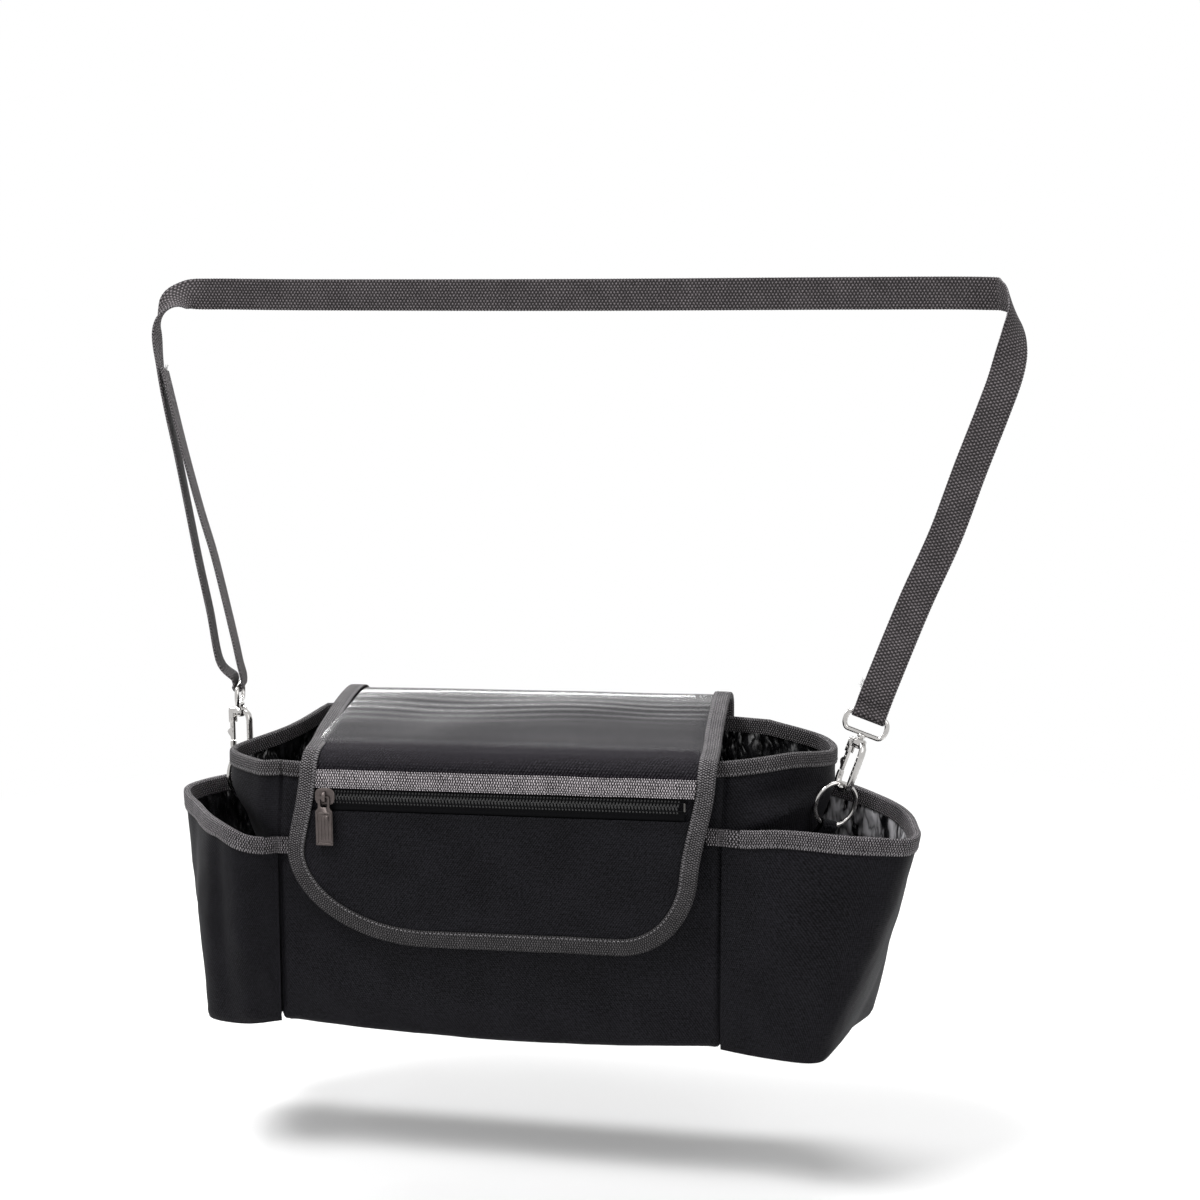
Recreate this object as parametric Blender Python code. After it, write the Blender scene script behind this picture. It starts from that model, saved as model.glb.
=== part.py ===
# Stroller organizer bag, hung by its strap, in metres with +Z up and the front facing -Y.
# The bag is modelled from its own corner frame (x = 0 midway between the front seams,
# y = 0 on the front panel, z = 0 under the base) and hung from an empty, so that the
# world origin is the middle of the strap's level run, the part that lies over a bar.
import bpy
import bmesh
import math
from mathutils import Matrix, Vector

# Main compartment
PANEL_HALF = 0.136
BODY_DEPTH = 0.112
FRONT_RIM = 0.160
BACK_RIM = 0.184
BASE_FLARE_START = 0.30
RIM_START = 0.92
MID_LEG = 0.97
FRONT_BELLY = 0.005
FABRIC = 0.0015
LINING = 0.0006
BOARD = 0.0025
GAP = 0.0003
SEAM_GAP = 0.0003
DIVIDER_X = 0.066
DIVIDER_HEIGHT = 0.112

# Rim of each end of the main compartment: how far the tip stands out past the front seam,
# how deep it lies, and the heights of the rim there
TIP_OUT = {"left": 0.046, "right": 0.060}
TIP_DEPTH = {"left": 0.047, "right": 0.060}
TIP_RIM = {"left": 0.160, "right": 0.1705}
SEAM_RIM = {"left": 0.1610, "right": 0.1720}
SEAM_LEAN = {"left": 0.009, "right": 0.0115}
FRONT_LEAN = 0.011
LEAN_START = 0.72
SHOULDER_OUT = {"left": 0.018, "right": 0.036}
SHOULDER_DEPTH = {"left": 0.010, "right": 0.020}
SHOULDER_RIM = {"left": 0.1600, "right": 0.1750}
HEEL_OUT = {"left": 0.019, "right": 0.051}
HEEL_DEPTH = {"left": 0.081, "right": 0.100}
HEEL_RIM = {"left": 0.169, "right": 0.1705}
BACK_SEAM_OUT = {"left": 0.004, "right": 0.016}
BACK_SEAM_RIM = {"left": 0.177, "right": 0.177}

# Side pockets: plan of the base and of the rim, measured out from the front seam
POCKET_RIM_SEAM = {"left": 0.1150, "right": 0.1335}
POCKET_RIM_FRONT = {"left": 0.1200, "right": 0.1360}
POCKET_RIM_CORNER = {"left": 0.1250, "right": 0.1340}
POCKET_RIM_TIP = {"left": 0.1300, "right": 0.1315}
POCKET_RIM_BACK = {"left": 0.132, "right": 0.134}
POCKET_RIM_END = {"left": 0.138, "right": 0.141}
POCKET_FULLNESS = 0.004
POCKET_BASE_REACH = {"left": 0.053, "right": 0.064}
POCKET_BASE_BACK = {"left": 0.066, "right": 0.084}
POCKET_RIM_REACH = {"left": 0.083, "right": 0.115}

# Binding tape folded over the rims
TAPE = 0.0008
RIM_TAPE_HEIGHT = 0.0085
POCKET_TAPE_HEIGHT = 0.0098
FLAP_TAPE_WIDTH = 0.0100
TAIL_PAST_SEAM = 0.009

# Flap: one cloth backing with a clear window above and a zipped pocket below
FLAP_SHEAR = 0.0135
BACKING = 0.0010
FILM = 0.0005
FLAP_CLOTH = 0.0010
WINDOW_TAPE_WIDTH = 0.0100
WINDOW_FIRST_BEND = 4
WINDOW_TUCK = 0.0060
TAPE_TO_COIL = 0.0028
ZIP_HEIGHT = 0.1475
ZIP_LEFT = -PANEL_HALF + 0.0295
ZIP_RIGHT = PANEL_HALF - 0.0215
COIL_HALF_WIDTH = 0.0020
COIL_SLOT = 0.0012
COIL_DEPTH = 0.0015
ZIP_TAPE = 0.0005
ZIP_TAPE_WIDTH = 0.0055
ZIP_TAPE_HIDDEN = 0.0030
SLIDER_LENGTH = 0.0095
SLIDER_WIDTH = 0.0084
SLIDER_PLATE = 0.0008
SLIDER_NECK = 0.0006
PULL_WIDTH = 0.0105
PULL_LENGTH = 0.0300
PULL_THICK = 0.0013
PATCH_WIDTH = 0.040
PATCH_HEIGHT = 0.020
PATCH_THICK = 0.0012

# Rings, snap hooks and their tabs
RING_RADIUS = 0.0138
WIRE = 0.0028
TAB_WIDTH = 0.010
TAB_THICK = 0.0010
LOOP_WIDTH = 0.0285
LOOP_HEIGHT = 0.0147
LOOP_WIRE = 0.0030
LOOP_END = 0.0036
STUD = 0.0032
HOOK_BAR = 0.0030
HOOK_THICK = 0.0042
EYE_HALF = 0.0055
EYE_PLAY = 0.0010
EYE_DROP = 0.0265
GATE_PIN = 0.0016
GATE_THICK = 0.0018
GATE_TOP = 0.0090

# Strap
WEBBING_WIDTH = 0.020
WEBBING = 0.0014
RUN_HEIGHT = 0.4445
RUN_DEPTH = 0.130
RUN_MIDDLE = 0.026
SEWN_FOLD = 0.018


def clear_scene():
    for item in list(bpy.data.objects):
        bpy.data.objects.remove(item, do_unlink=True)


def make_material(name, colour, roughness, metallic=0.0, transmission=0.0):
    mat = bpy.data.materials.new(name)
    mat.use_nodes = True
    shader = mat.node_tree.nodes["Principled BSDF"]
    shader.inputs["Base Color"].default_value = (*colour, 1.0)
    shader.inputs["Roughness"].default_value = roughness
    shader.inputs["Metallic"].default_value = metallic
    shader.inputs["Transmission Weight"].default_value = transmission
    return mat


def make_materials():
    return {
        "cloth": make_material("black_polyester", (0.013, 0.013, 0.016), 0.80),
        "lining": make_material("black_lining", (0.010, 0.010, 0.012), 0.35),
        "tape": make_material("grey_binding", (0.105, 0.105, 0.108), 0.75),
        "webbing": make_material("grey_webbing", (0.120, 0.118, 0.120), 0.70),
        "film": make_material("clear_film", (0.75, 0.77, 0.80), 0.06, 0.0, 0.9),
        "board": make_material("grey_board", (0.10, 0.10, 0.10), 0.60),
        "zip": make_material("black_nylon", (0.008, 0.008, 0.009), 0.45),
        "nickel": make_material("bright_nickel", (0.62, 0.61, 0.59), 0.18, 1.0),
        "pewter": make_material("dark_pewter", (0.23, 0.22, 0.21), 0.35, 1.0),
    }


def add_object(name, verts, faces, mat, smooth=False):
    mesh = bpy.data.meshes.new(name)
    mesh.from_pydata([tuple(v) for v in verts], [], faces)
    mesh.validate()
    mesh.materials.append(mat)
    if smooth:
        mesh.shade_smooth()
        mesh.set_sharp_from_angle(angle=math.radians(40))
    item = bpy.data.objects.new(name, mesh)
    bpy.context.scene.collection.objects.link(item)
    return item


def lerp(a, b, t):
    return a + (b - a) * t


def smoothstep(t):
    t = min(max(t, 0.0), 1.0)
    return t * t * (3.0 - 2.0 * t)


def curve_at(points, u):
    """Catmull-Rom value at u in 0..1 through tuples of any length."""
    last = len(points) - 1
    place = min(max(u, 0.0), 1.0) * last
    i = min(int(place), last - 1)
    t = place - i
    p1 = points[i]
    p2 = points[i + 1]
    p0 = points[i - 1] if i > 0 else tuple(2 * a - b for a, b in zip(p1, p2))
    p3 = points[i + 2] if i + 2 <= last else tuple(2 * b - a for a, b in zip(p1, p2))
    value = []
    for a, b, c, d in zip(p0, p1, p2, p3):
        bend = (2 * a - 5 * b + 4 * c - d) * t * t + (3 * b - a - 3 * c + d) * t * t * t
        value.append(0.5 * (2 * b + (c - a) * t + bend))
    return tuple(value)


def strip_faces(rows, columns, closed=False):
    """Triangles of a grid of rows by columns, cut along the same diagonal on every layer."""
    faces = []
    last = columns if closed else columns - 1
    for r in range(rows - 1):
        for c in range(last):
            n = (c + 1) % columns
            here = r * columns
            above = here + columns
            faces += [(here + c, here + n, above + n), (here + c, above + n, above + c)]
    return faces


def slab(name, outer, inner, mat):
    """Closed solid between two matching grids of points, the outer one facing out."""
    rows = len(outer)
    columns = len(outer[0])
    count = rows * columns
    verts = [p for row in outer for p in row] + [p for row in inner for p in row]
    front = strip_faces(rows, columns)
    faces = [tuple(f) for f in front]
    faces += [tuple(i + count for i in reversed(f)) for f in front]
    border = list(range(columns))
    border += [r * columns + columns - 1 for r in range(1, rows)]
    border += [(rows - 1) * columns + c for c in range(columns - 2, -1, -1)]
    border += [r * columns for r in range(rows - 2, 0, -1)]
    for a, b in zip(border, border[1:] + border[:1]):
        faces.append((b, a, a + count, b + count))
    item = add_object(name, verts, faces, mat, smooth=True)
    face_outward(item)
    return item


def face_outward(item):
    work = bmesh.new()
    work.from_mesh(item.data)
    bmesh.ops.recalc_face_normals(work, faces=work.faces)
    if work.calc_volume(signed=True) < 0:
        bmesh.ops.reverse_faces(work, faces=work.faces)
    work.to_mesh(item.data)
    work.free()


def sweep(name, frames, section, mat, closed=False, cap=None):
    """Section (a list of (side, up) pairs) carried along frames of (point, side, up)."""
    size = len(section)
    verts = []
    for point, side, up in frames:
        for a, b in section:
            verts.append(point + side * a + up * b)
    rows = len(frames)
    faces = strip_faces(rows, size, closed=True)
    if closed:
        base = (rows - 1) * size
        for c in range(size):
            n = (c + 1) % size
            faces.append((base + c, base + n, n, c))
    else:
        base = (rows - 1) * size
        for quad in cap or [tuple(range(size))]:
            faces.append(tuple(reversed(quad)))
            faces.append(tuple(base + i for i in quad))
    item = add_object(name, verts, faces, mat, smooth=True)
    face_outward(item)
    return item


def round_section(radius, sides):
    return [(radius * math.cos(2 * math.pi * i / sides), radius * math.sin(2 * math.pi * i / sides))
            for i in range(sides)]


def box_mesh(work, low, high, matrix=Matrix.Identity(4)):
    size = Vector(high) - Vector(low)
    centre = (Vector(high) + Vector(low)) / 2
    made = bmesh.ops.create_cube(work, size=1.0)
    bmesh.ops.scale(work, verts=made["verts"], vec=size)
    bmesh.ops.translate(work, verts=made["verts"], vec=centre)
    bmesh.ops.transform(work, verts=made["verts"], matrix=matrix)


def mesh_object(name, work, mat):
    mesh = bpy.data.meshes.new(name)
    work.to_mesh(mesh)
    work.free()
    mesh.materials.append(mat)
    item = bpy.data.objects.new(name, mesh)
    bpy.context.scene.collection.objects.link(item)
    return item


def box_object(name, low, high, mat, matrix=Matrix.Identity(4), bevel=0.0):
    work = bmesh.new()
    box_mesh(work, low, high, matrix)
    if bevel:
        bmesh.ops.bevel(work, geom=work.edges[:], offset=bevel, segments=1, affect="EDGES")
    return mesh_object(name, work, mat)


def cylinder_object(name, radius, low, high, axis, mat, sides=16):
    """Cylinder between two heights on a local axis, given as 'x', 'y' or 'z'."""
    work = bmesh.new()
    turn = {"z": Matrix.Identity(4), "x": Matrix.Rotation(math.pi / 2, 4, "Y"),
            "y": Matrix.Rotation(-math.pi / 2, 4, "X")}[axis]
    place = turn @ Matrix.Translation((0, 0, (low + high) / 2))
    bmesh.ops.create_cone(work, cap_ends=True, segments=sides, radius1=radius, radius2=radius,
                          depth=high - low, matrix=place)
    return mesh_object(name, work, mat)


def combine(item, tools, operation):
    """Join the tools to the item, or cut them from it, and remove them."""
    for tool in tools:
        step = item.modifiers.new("step", "BOOLEAN")
        step.operation = operation
        step.object = tool
    bpy.context.view_layer.update()
    graph = bpy.context.evaluated_depsgraph_get()
    done = bpy.data.meshes.new_from_object(item.evaluated_get(graph))
    item.modifiers.clear()
    item.data = done
    for tool in tools:
        bpy.data.objects.remove(tool, do_unlink=True)
    return item


# Walls of the main compartment

def side_control(side):
    """Control points of an end wall from front seam to back seam, each
    (base x, base y, rim x, rim y, rim z), x measured outward from the front seam."""
    return [
        (0.000, 0.000, 0.000, 0.000, SEAM_RIM[side]),
        (0.005, 0.016, SHOULDER_OUT[side], SHOULDER_DEPTH[side], SHOULDER_RIM[side]),
        (0.008, 0.052, TIP_OUT[side], TIP_DEPTH[side], TIP_RIM[side]),
        (0.008, 0.094, HEEL_OUT[side], HEEL_DEPTH[side], HEEL_RIM[side]),
        (0.002, BODY_DEPTH - 0.001, BACK_SEAM_OUT[side], BODY_DEPTH, BACK_SEAM_RIM[side]),
    ]


def side_wall_point(side, u, t):
    bx, by, rx, ry, rz = curve_at(side_control(side), u)
    flare = smoothstep((t - BASE_FLARE_START) / (RIM_START - BASE_FLARE_START))
    sign = -1.0 if side == "left" else 1.0
    y = lerp(by, ry, flare) + SEAM_LEAN[side] * lean_at(t) * max(0.0, 1.0 - 2.0 * u) ** 2
    return Vector((sign * (PANEL_HALF + lerp(bx, rx, flare)), y, t * rz))


def lean_at(t):
    """Share of the front rim's lean towards the back that is reached at a height."""
    return smoothstep((t - LEAN_START) / (1.0 - LEAN_START))


def front_rim_height(u):
    return curve_at([(SEAM_RIM["left"],), (FRONT_RIM,), (SEAM_RIM["right"],)], u)[0]


def front_wall_point(u, t):
    x = lerp(-PANEL_HALF, PANEL_HALF, u)
    belly = FRONT_BELLY * math.sin(math.pi * u) * math.sin(math.pi * min(t / RIM_START, 1.0)) ** 2
    lean = curve_at([(SEAM_LEAN["left"],), (FRONT_LEAN,), (SEAM_LEAN["right"],)], u)[0]
    return Vector((x, lean * lean_at(t) - belly, t * front_rim_height(u)))


def back_wall_point(u, t):
    start = side_wall_point("right", 1.0, t)
    end = side_wall_point("left", 1.0, t)
    crest = BACK_RIM * t
    height = curve_at([(start.z,), (crest,), (end.z,)], u)[0]
    return Vector((lerp(start.x, end.x, u), lerp(start.y, end.y, u), height))


PANELS = {"front_panel": (0, 10), "side_panel_right": (10, 20),
          "back_panel": (20, 30), "side_panel_left": (30, 40)}
LOOP_COUNT = 40


def body_point(index, t):
    """Outer surface of the main compartment at one of the loop's columns."""
    index = index % LOOP_COUNT
    if index < 10:
        return front_wall_point(index / 10, t)
    if index < 20:
        return side_wall_point("right", (index - 10) / 10, t)
    if index < 30:
        return back_wall_point((index - 20) / 10, t)
    return side_wall_point("left", 1.0 - (index - 30) / 10, t)


def body_normal(index, t):
    before = body_point(index - 1, t)
    after = body_point(index + 1, t)
    here = body_point(index, t)
    along = (here - before).normalized() + (after - here).normalized()
    along.z = 0.0
    along.normalize()
    return Vector((along.y, -along.x, 0.0))


HEIGHTS = [0.0, 0.15, BASE_FLARE_START, 0.45, 0.58, 0.70, 0.82, RIM_START, 1.0]


def build_walls(mats):
    for name, (start, stop) in PANELS.items():
        outer = []
        inner = []
        for t in HEIGHTS:
            row = [body_point(i, t) for i in range(start, stop + 1)]
            normals = [body_normal(i, t) for i in range(start, stop + 1)]
            pull = SEAM_GAP / 2
            row[0] = row[0] + (row[1] - row[0]).normalized() * pull
            row[-1] = row[-1] + (row[-2] - row[-1]).normalized() * pull
            outer.append(row)
            inner.append([p - n * FABRIC for p, n in zip(row, normals)])
        slab(name, outer, inner, mats["cloth"])


def build_lining(mats):
    floor = FABRIC + GAP + BOARD + GAP
    outer = []
    inner = []
    for t in HEIGHTS:
        for_outer = []
        for_inner = []
        for i in range(LOOP_COUNT):
            point = body_point(i, t)
            normal = body_normal(i, t)
            a = point - normal * (FABRIC + GAP)
            b = point - normal * (FABRIC + GAP + LINING)
            if t == HEIGHTS[0]:
                a.z = floor
                b.z = floor + LINING
            for_outer.append(a)
            for_inner.append(b)
        outer.append(for_outer)
        inner.append(for_inner)
    rows = len(HEIGHTS)
    count = rows * LOOP_COUNT
    verts = [p for row in outer for p in row] + [p for row in inner for p in row]
    faces = strip_faces(rows, LOOP_COUNT, closed=True)
    faces += [tuple(i + count for i in reversed(f)) for f in strip_faces(rows, LOOP_COUNT, closed=True)]
    top = (rows - 1) * LOOP_COUNT
    for c in range(LOOP_COUNT):
        n = (c + 1) % LOOP_COUNT
        faces.append((top + c, top + n, top + n + count, top + c + count))
    faces.append(tuple(reversed(range(LOOP_COUNT))))
    faces.append(tuple(range(count, count + LOOP_COUNT)))
    item = add_object("main_lining", verts, faces, mats["lining"], smooth=True)
    face_outward(item)


def flat_plate(name, outline, low, high, mat):
    """Flat plate between two heights inside an outline of points."""
    size = len(outline)
    verts = [Vector((p.x, p.y, low)) for p in outline] + [Vector((p.x, p.y, high)) for p in outline]
    faces = [tuple(reversed(range(size))), tuple(range(size, 2 * size))]
    for c in range(size):
        n = (c + 1) % size
        faces.append((c, n, n + size, c + size))
    item = add_object(name, verts, faces, mat)
    face_outward(item)
    return item


def build_base(mats):
    outline = [body_point(i, 0.0) - body_normal(i, 0.0) * (FABRIC + GAP) for i in range(LOOP_COUNT)]
    flat_plate("base_panel", outline, 0.0, FABRIC, mats["cloth"])
    flat_plate("base_board", outline, FABRIC + GAP, FABRIC + GAP + BOARD, mats["board"])


def build_dividers(mats):
    floor = FABRIC + GAP + BOARD + GAP + LINING + GAP
    inset = FABRIC + GAP + LINING + GAP
    for side, sign in (("left", -1.0), ("right", 1.0)):
        rows = 7
        outer = []
        inner = []
        for r in range(rows):
            t = r / (rows - 1)
            z = lerp(floor, DIVIDER_HEIGHT, t)
            u = 0.5 + sign * DIVIDER_X / (2 * PANEL_HALF)
            front = front_wall_point(u, z / front_rim_height(u)).y + inset + GAP
            back = BODY_DEPTH - 0.001 - inset - GAP
            row_out = []
            row_in = []
            for c in range(5):
                y = lerp(front, back, c / 4)
                bow = 0.004 * math.sin(math.pi * c / 4) * t
                x = sign * (DIVIDER_X + bow)
                row_out.append(Vector((x + 0.0006, y, z)))
                row_in.append(Vector((x - 0.0006, y, z)))
            outer.append(row_out)
            inner.append(row_in)
        slab("divider_" + side, outer, inner, mats["lining"])


def fold_section(stack, leg, tape):
    """U-shaped tape folded over a stack of cloth: side is outward, up is over the edge.
    The stack's outer face is at side 0 and its edge at up 0."""
    out = GAP + tape
    inside = -(stack + GAP)
    top = GAP + tape
    return [(out, -leg), (out, top), (inside - tape, top), (inside - tape, -leg),
            (inside, -leg), (inside, GAP), (GAP, GAP), (GAP, -leg)]


FOLD_CAPS = [(0, 1, 6, 7), (1, 2, 5, 6), (2, 3, 4, 5)]


def build_main_binding(mats):
    stack = FABRIC + GAP + LINING
    frames = []
    for i in range(LOOP_COUNT):
        rise = (body_point(i, 1.0) - body_point(i, RIM_START)).normalized()
        frames.append((body_point(i, 1.0), body_normal(i, MID_LEG), rise))
    sweep("main_rim_binding", frames, fold_section(stack, RIM_TAPE_HEIGHT, TAPE), mats["tape"], closed=True)


# Side pockets

def pocket_control(side):
    """Outer face of a pocket wall from front seam to back seam, as in side_control."""
    reach = POCKET_RIM_REACH[side]
    base = POCKET_BASE_REACH[side]
    back = POCKET_BASE_BACK[side]
    front = -(FABRIC + GAP)
    behind = BODY_DEPTH + FABRIC + GAP
    rim_seam = POCKET_RIM_SEAM[side]
    past_corner = lerp(POCKET_RIM_CORNER[side], POCKET_RIM_TIP[side], 0.4)
    if side == "left":
        return [
            (0.0003, front, 0.0003, front, rim_seam),
            (0.0220, front - 0.003, 0.0200, front - 0.010, POCKET_RIM_FRONT[side]),
            (base - 0.006, front + 0.003, 0.0420, front + 0.002, POCKET_RIM_CORNER[side]),
            (base, 0.0140, 0.0650, 0.0300, past_corner),
            (base + 0.003, 0.0500, reach, 0.0620, POCKET_RIM_TIP[side]),
            (back, 0.0880, 0.0640, 0.0980, POCKET_RIM_BACK[side]),
            (0.0300, behind, 0.0360, behind, POCKET_RIM_END[side]),
            (0.0080, behind, 0.0110, behind, POCKET_RIM_END[side]),
        ]
    return [
        (0.0003, front, 0.0003, front, rim_seam),
        (0.0280, front - 0.003, 0.0330, front - 0.006, POCKET_RIM_FRONT[side]),
        (base - 0.007, front - 0.005, 0.0860, front - 0.005, POCKET_RIM_CORNER[side]),
        (base + 0.003, 0.0080, reach - 0.004, 0.0030, past_corner),
        (base + 0.011, 0.0480, reach - 0.003, 0.0380, POCKET_RIM_TIP[side]),
        (back, 0.0900, 0.1000, 0.0760, POCKET_RIM_BACK[side]),
        (0.0420, behind, 0.0560, behind, POCKET_RIM_END[side]),
        (0.0080, behind, 0.0190, behind, POCKET_RIM_END[side]),
    ]


POCKET_COLUMNS = 20


def pocket_point(side, u, t):
    bx, by, rx, ry, rz = curve_at(pocket_control(side), u)
    sign = -1.0 if side == "left" else 1.0
    full = POCKET_FULLNESS * math.sin(math.pi * t) * math.sin(math.pi * u)
    centre = Vector((PANEL_HALF, BODY_DEPTH / 2, 0.0))
    point = Vector((PANEL_HALF + lerp(bx, rx, t), lerp(by, ry, t), 0.0))
    away = (point - centre).normalized() * full
    point += away
    return Vector((sign * point.x, point.y, t * rz))


def pocket_normal(side, u, t):
    step = 0.5 / POCKET_COLUMNS
    along = pocket_point(side, u + step, t) - pocket_point(side, u - step, t)
    along.z = 0.0
    along.normalize()
    normal = Vector((along.y, -along.x, 0.0))
    return -normal if side == "left" else normal


def pocket_rows(side, first, last, depth):
    rows = []
    for t in HEIGHTS:
        row = []
        for c in range(first, last + 1):
            u = c / POCKET_COLUMNS
            row.append(pocket_point(side, u, t) - pocket_normal(side, u, t) * depth)
        rows.append(row)
    return rows


LINING_FIRST = 1
LINING_LAST = POCKET_COLUMNS - 2


def build_pocket(side, mats):
    outer = pocket_rows(side, 0, POCKET_COLUMNS, 0.0)
    inner = pocket_rows(side, 0, POCKET_COLUMNS, FABRIC)
    slab("pocket_wall_" + side, outer, inner, mats["cloth"])
    face = pocket_rows(side, LINING_FIRST, LINING_LAST, FABRIC + GAP)
    back = pocket_rows(side, LINING_FIRST, LINING_LAST, FABRIC + GAP + LINING)
    lift = FABRIC + GAP
    for row in (face[0], back[0]):
        for p in row:
            p.z = lift
    slab("pocket_lining_" + side, face, back, mats["lining"])
    build_pocket_base(side, mats)
    build_pocket_binding(side, mats)


def build_pocket_base(side, mats):
    """Flat base between the pocket wall and the end wall of the main compartment."""
    clear = 2 * GAP
    low = []
    for c in range(2, POCKET_COLUMNS - 1):
        u = c / POCKET_COLUMNS
        outer = pocket_point(side, u, 0.0) - pocket_normal(side, u, 0.0) * (FABRIC + GAP)
        along = lerp(0.4, 9.6, (c - 2) / (POCKET_COLUMNS - 4))
        column = 10 + along if side == "right" else 40 - along
        inner = body_point(column, 0.0) + body_normal(column, 0.0) * clear
        inner.y = min(max(inner.y, 0.001), BODY_DEPTH - 0.001)
        low.append((inner, outer))
    bottom = [[Vector((p.x, p.y, 0.0)) for p in pair] for pair in low]
    top = [[Vector((p.x, p.y, FABRIC)) for p in pair] for pair in low]
    slab("pocket_base_" + side, bottom, top, mats["cloth"])


def build_pocket_binding(side, mats):
    stack = FABRIC + GAP + LINING
    frames = []
    for c in range(LINING_FIRST, LINING_LAST + 1):
        u = c / POCKET_COLUMNS
        rim = pocket_point(side, u, 1.0)
        rise = (rim - pocket_point(side, u, RIM_START)).normalized()
        frames.append((rim, pocket_normal(side, u, 1.0), rise))
    item = sweep("pocket_binding_" + side, frames, fold_section(stack, POCKET_TAPE_HEIGHT, TAPE),
                 mats["tape"], cap=FOLD_CAPS)
    add_tail(item, side)


def add_tail(item, side):
    """Carry the tape's outer leg on past the front seam, flat on the front panel."""
    work = bmesh.new()
    work.from_mesh(item.data)
    seam = PANEL_HALF * (-1.0 if side == "left" else 1.0)
    caps = [f for f in work.faces if len(f.verts) == 4
            and abs(f.calc_center_median().y + FABRIC + GAP + TAPE / 2) < 0.004
            and abs(f.normal.x) > 0.7 and abs(f.calc_center_median().x - seam) < 0.02]
    caps.sort(key=lambda f: f.calc_center_median().y)
    face = caps[0]
    inward = -1.0 if side == "right" else 1.0
    bottom = min(v.co.z for v in face.verts)
    top = max(v.co.z for v in face.verts)
    ends = [(seam, -(FABRIC + GAP * 2), -(FABRIC + GAP * 2 + TAPE)),
            (seam + inward * 0.002, -GAP * 2 - FABRIC, -GAP * 2 - FABRIC - TAPE),
            (seam + inward * TAIL_PAST_SEAM, -GAP * 3, -GAP * 3 - TAPE)]
    for x, near, far in ends:
        made = bmesh.ops.extrude_discrete_faces(work, faces=[face])
        face = made["faces"][0]
        middle = sum((v.co.y for v in face.verts)) / 4
        half = (bottom + top) / 2
        for v in face.verts:
            v.co.x = x
            v.co.y = near if v.co.y > middle else far
            v.co.z = bottom if v.co.z < half else top - 0.0003
    bmesh.ops.recalc_face_normals(work, faces=work.faces)
    work.to_mesh(item.data)
    work.free()


# Flap

FLAP_PROFILE = [
    (0.1145, 0.1560), (0.1152, 0.1700), (0.1156, 0.1800), (0.1135, 0.1870), (0.1050, 0.1896),
    (0.0900, 0.1886), (0.0700, 0.1850), (0.0460, 0.1795), (0.0220, 0.1740), (0.0060, 0.1716),
    (-0.0015, 0.1702), (-0.0060, 0.1662), (-0.0078, 0.1605), (-0.0083, 0.1540), (-0.0085, 0.1400),
    (-0.0085, 0.1100), (-0.0085, 0.0800), (-0.0085, 0.0560)]
FLAP_LEFT_INSET = [(0.0125,), (0.0125,), (0.0145,), (0.0175,), (0.0085,), (0.0090,)]
FLAP_RIGHT_INSET = [(0.0070,), (0.0070,), (0.0045,), (0.0020,), (0.0115,), (0.0145,)]
FLAP_CORNER = {"left": (0.086, 0.062), "right": (0.044, 0.048)}


def profile_table():
    fine = [curve_at(FLAP_PROFILE, i / 400) for i in range(401)]
    run = [0.0]
    for a, b in zip(fine, fine[1:]):
        run.append(run[-1] + math.hypot(b[0] - a[0], b[1] - a[1]))
    return fine, run


PROFILE_POINTS, PROFILE_RUN = profile_table()
FLAP_LENGTH = PROFILE_RUN[-1]
CORNER_RUN = FLAP_LENGTH - max(FLAP_CORNER["left"][1], FLAP_CORNER["right"][1])


def stations(start, stop):
    """Lengths along the flap at which its sheets bend, between two given ends."""
    zip_run = run_at_height(ZIP_HEIGHT)
    steps = len(FLAP_PROFILE) - 1
    bends = [PROFILE_RUN[round(400 * i / steps)] for i in range(steps + 1)]
    window_tape = window_tape_runs(zip_run)
    marks = sorted(bends + [window_tape[0] + WINDOW_TUCK, zip_run])
    return [start] + [s for s in marks if start + 0.0005 < s < stop - 0.0005] + [stop]


def window_start():
    return PROFILE_RUN[round(400 * WINDOW_FIRST_BEND / (len(FLAP_PROFILE) - 1))]


def window_tape_runs(zip_run):
    low = zip_run - COIL_HALF_WIDTH - COIL_SLOT / 2 - TAPE_TO_COIL
    return low - WINDOW_TAPE_WIDTH, low


def profile_at(s):
    """Point and outward normal of the flap's under side, s along its length from the back."""
    s = min(max(s, 0.0), FLAP_LENGTH - 1e-9)
    low = 0
    high = len(PROFILE_RUN) - 1
    while high - low > 1:
        mid = (low + high) // 2
        if PROFILE_RUN[mid] <= s:
            low = mid
        else:
            high = mid
    a = PROFILE_POINTS[low]
    b = PROFILE_POINTS[high]
    t = (s - PROFILE_RUN[low]) / (PROFILE_RUN[high] - PROFILE_RUN[low])
    dy = b[0] - a[0]
    dz = b[1] - a[1]
    size = math.hypot(dy, dz)
    return lerp(a[0], b[0], t), lerp(a[1], b[1], t), dz / size, -dy / size


def run_at_height(height):
    """Length along the flap at which its front face reaches a height."""
    low = run_start_of_front()
    high = FLAP_LENGTH
    for _ in range(40):
        mid = (low + high) / 2
        if profile_at(mid)[1] > height:
            low = mid
        else:
            high = mid
    return (low + high) / 2


def run_start_of_front():
    for point, run in zip(PROFILE_POINTS, PROFILE_RUN):
        if run > 0.06 and point[0] < 0.0:
            return run
    return FLAP_LENGTH


def flap_point(x, s, lift):
    y, z, ny, nz = profile_at(s)
    return Vector((x, y + ny * lift, z + nz * lift + FLAP_SHEAR * x))


def flap_edges(s):
    w = s / FLAP_LENGTH
    return curve_at(FLAP_LEFT_INSET, w)[0] - PANEL_HALF, PANEL_HALF - curve_at(FLAP_RIGHT_INSET, w)[0]


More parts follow.
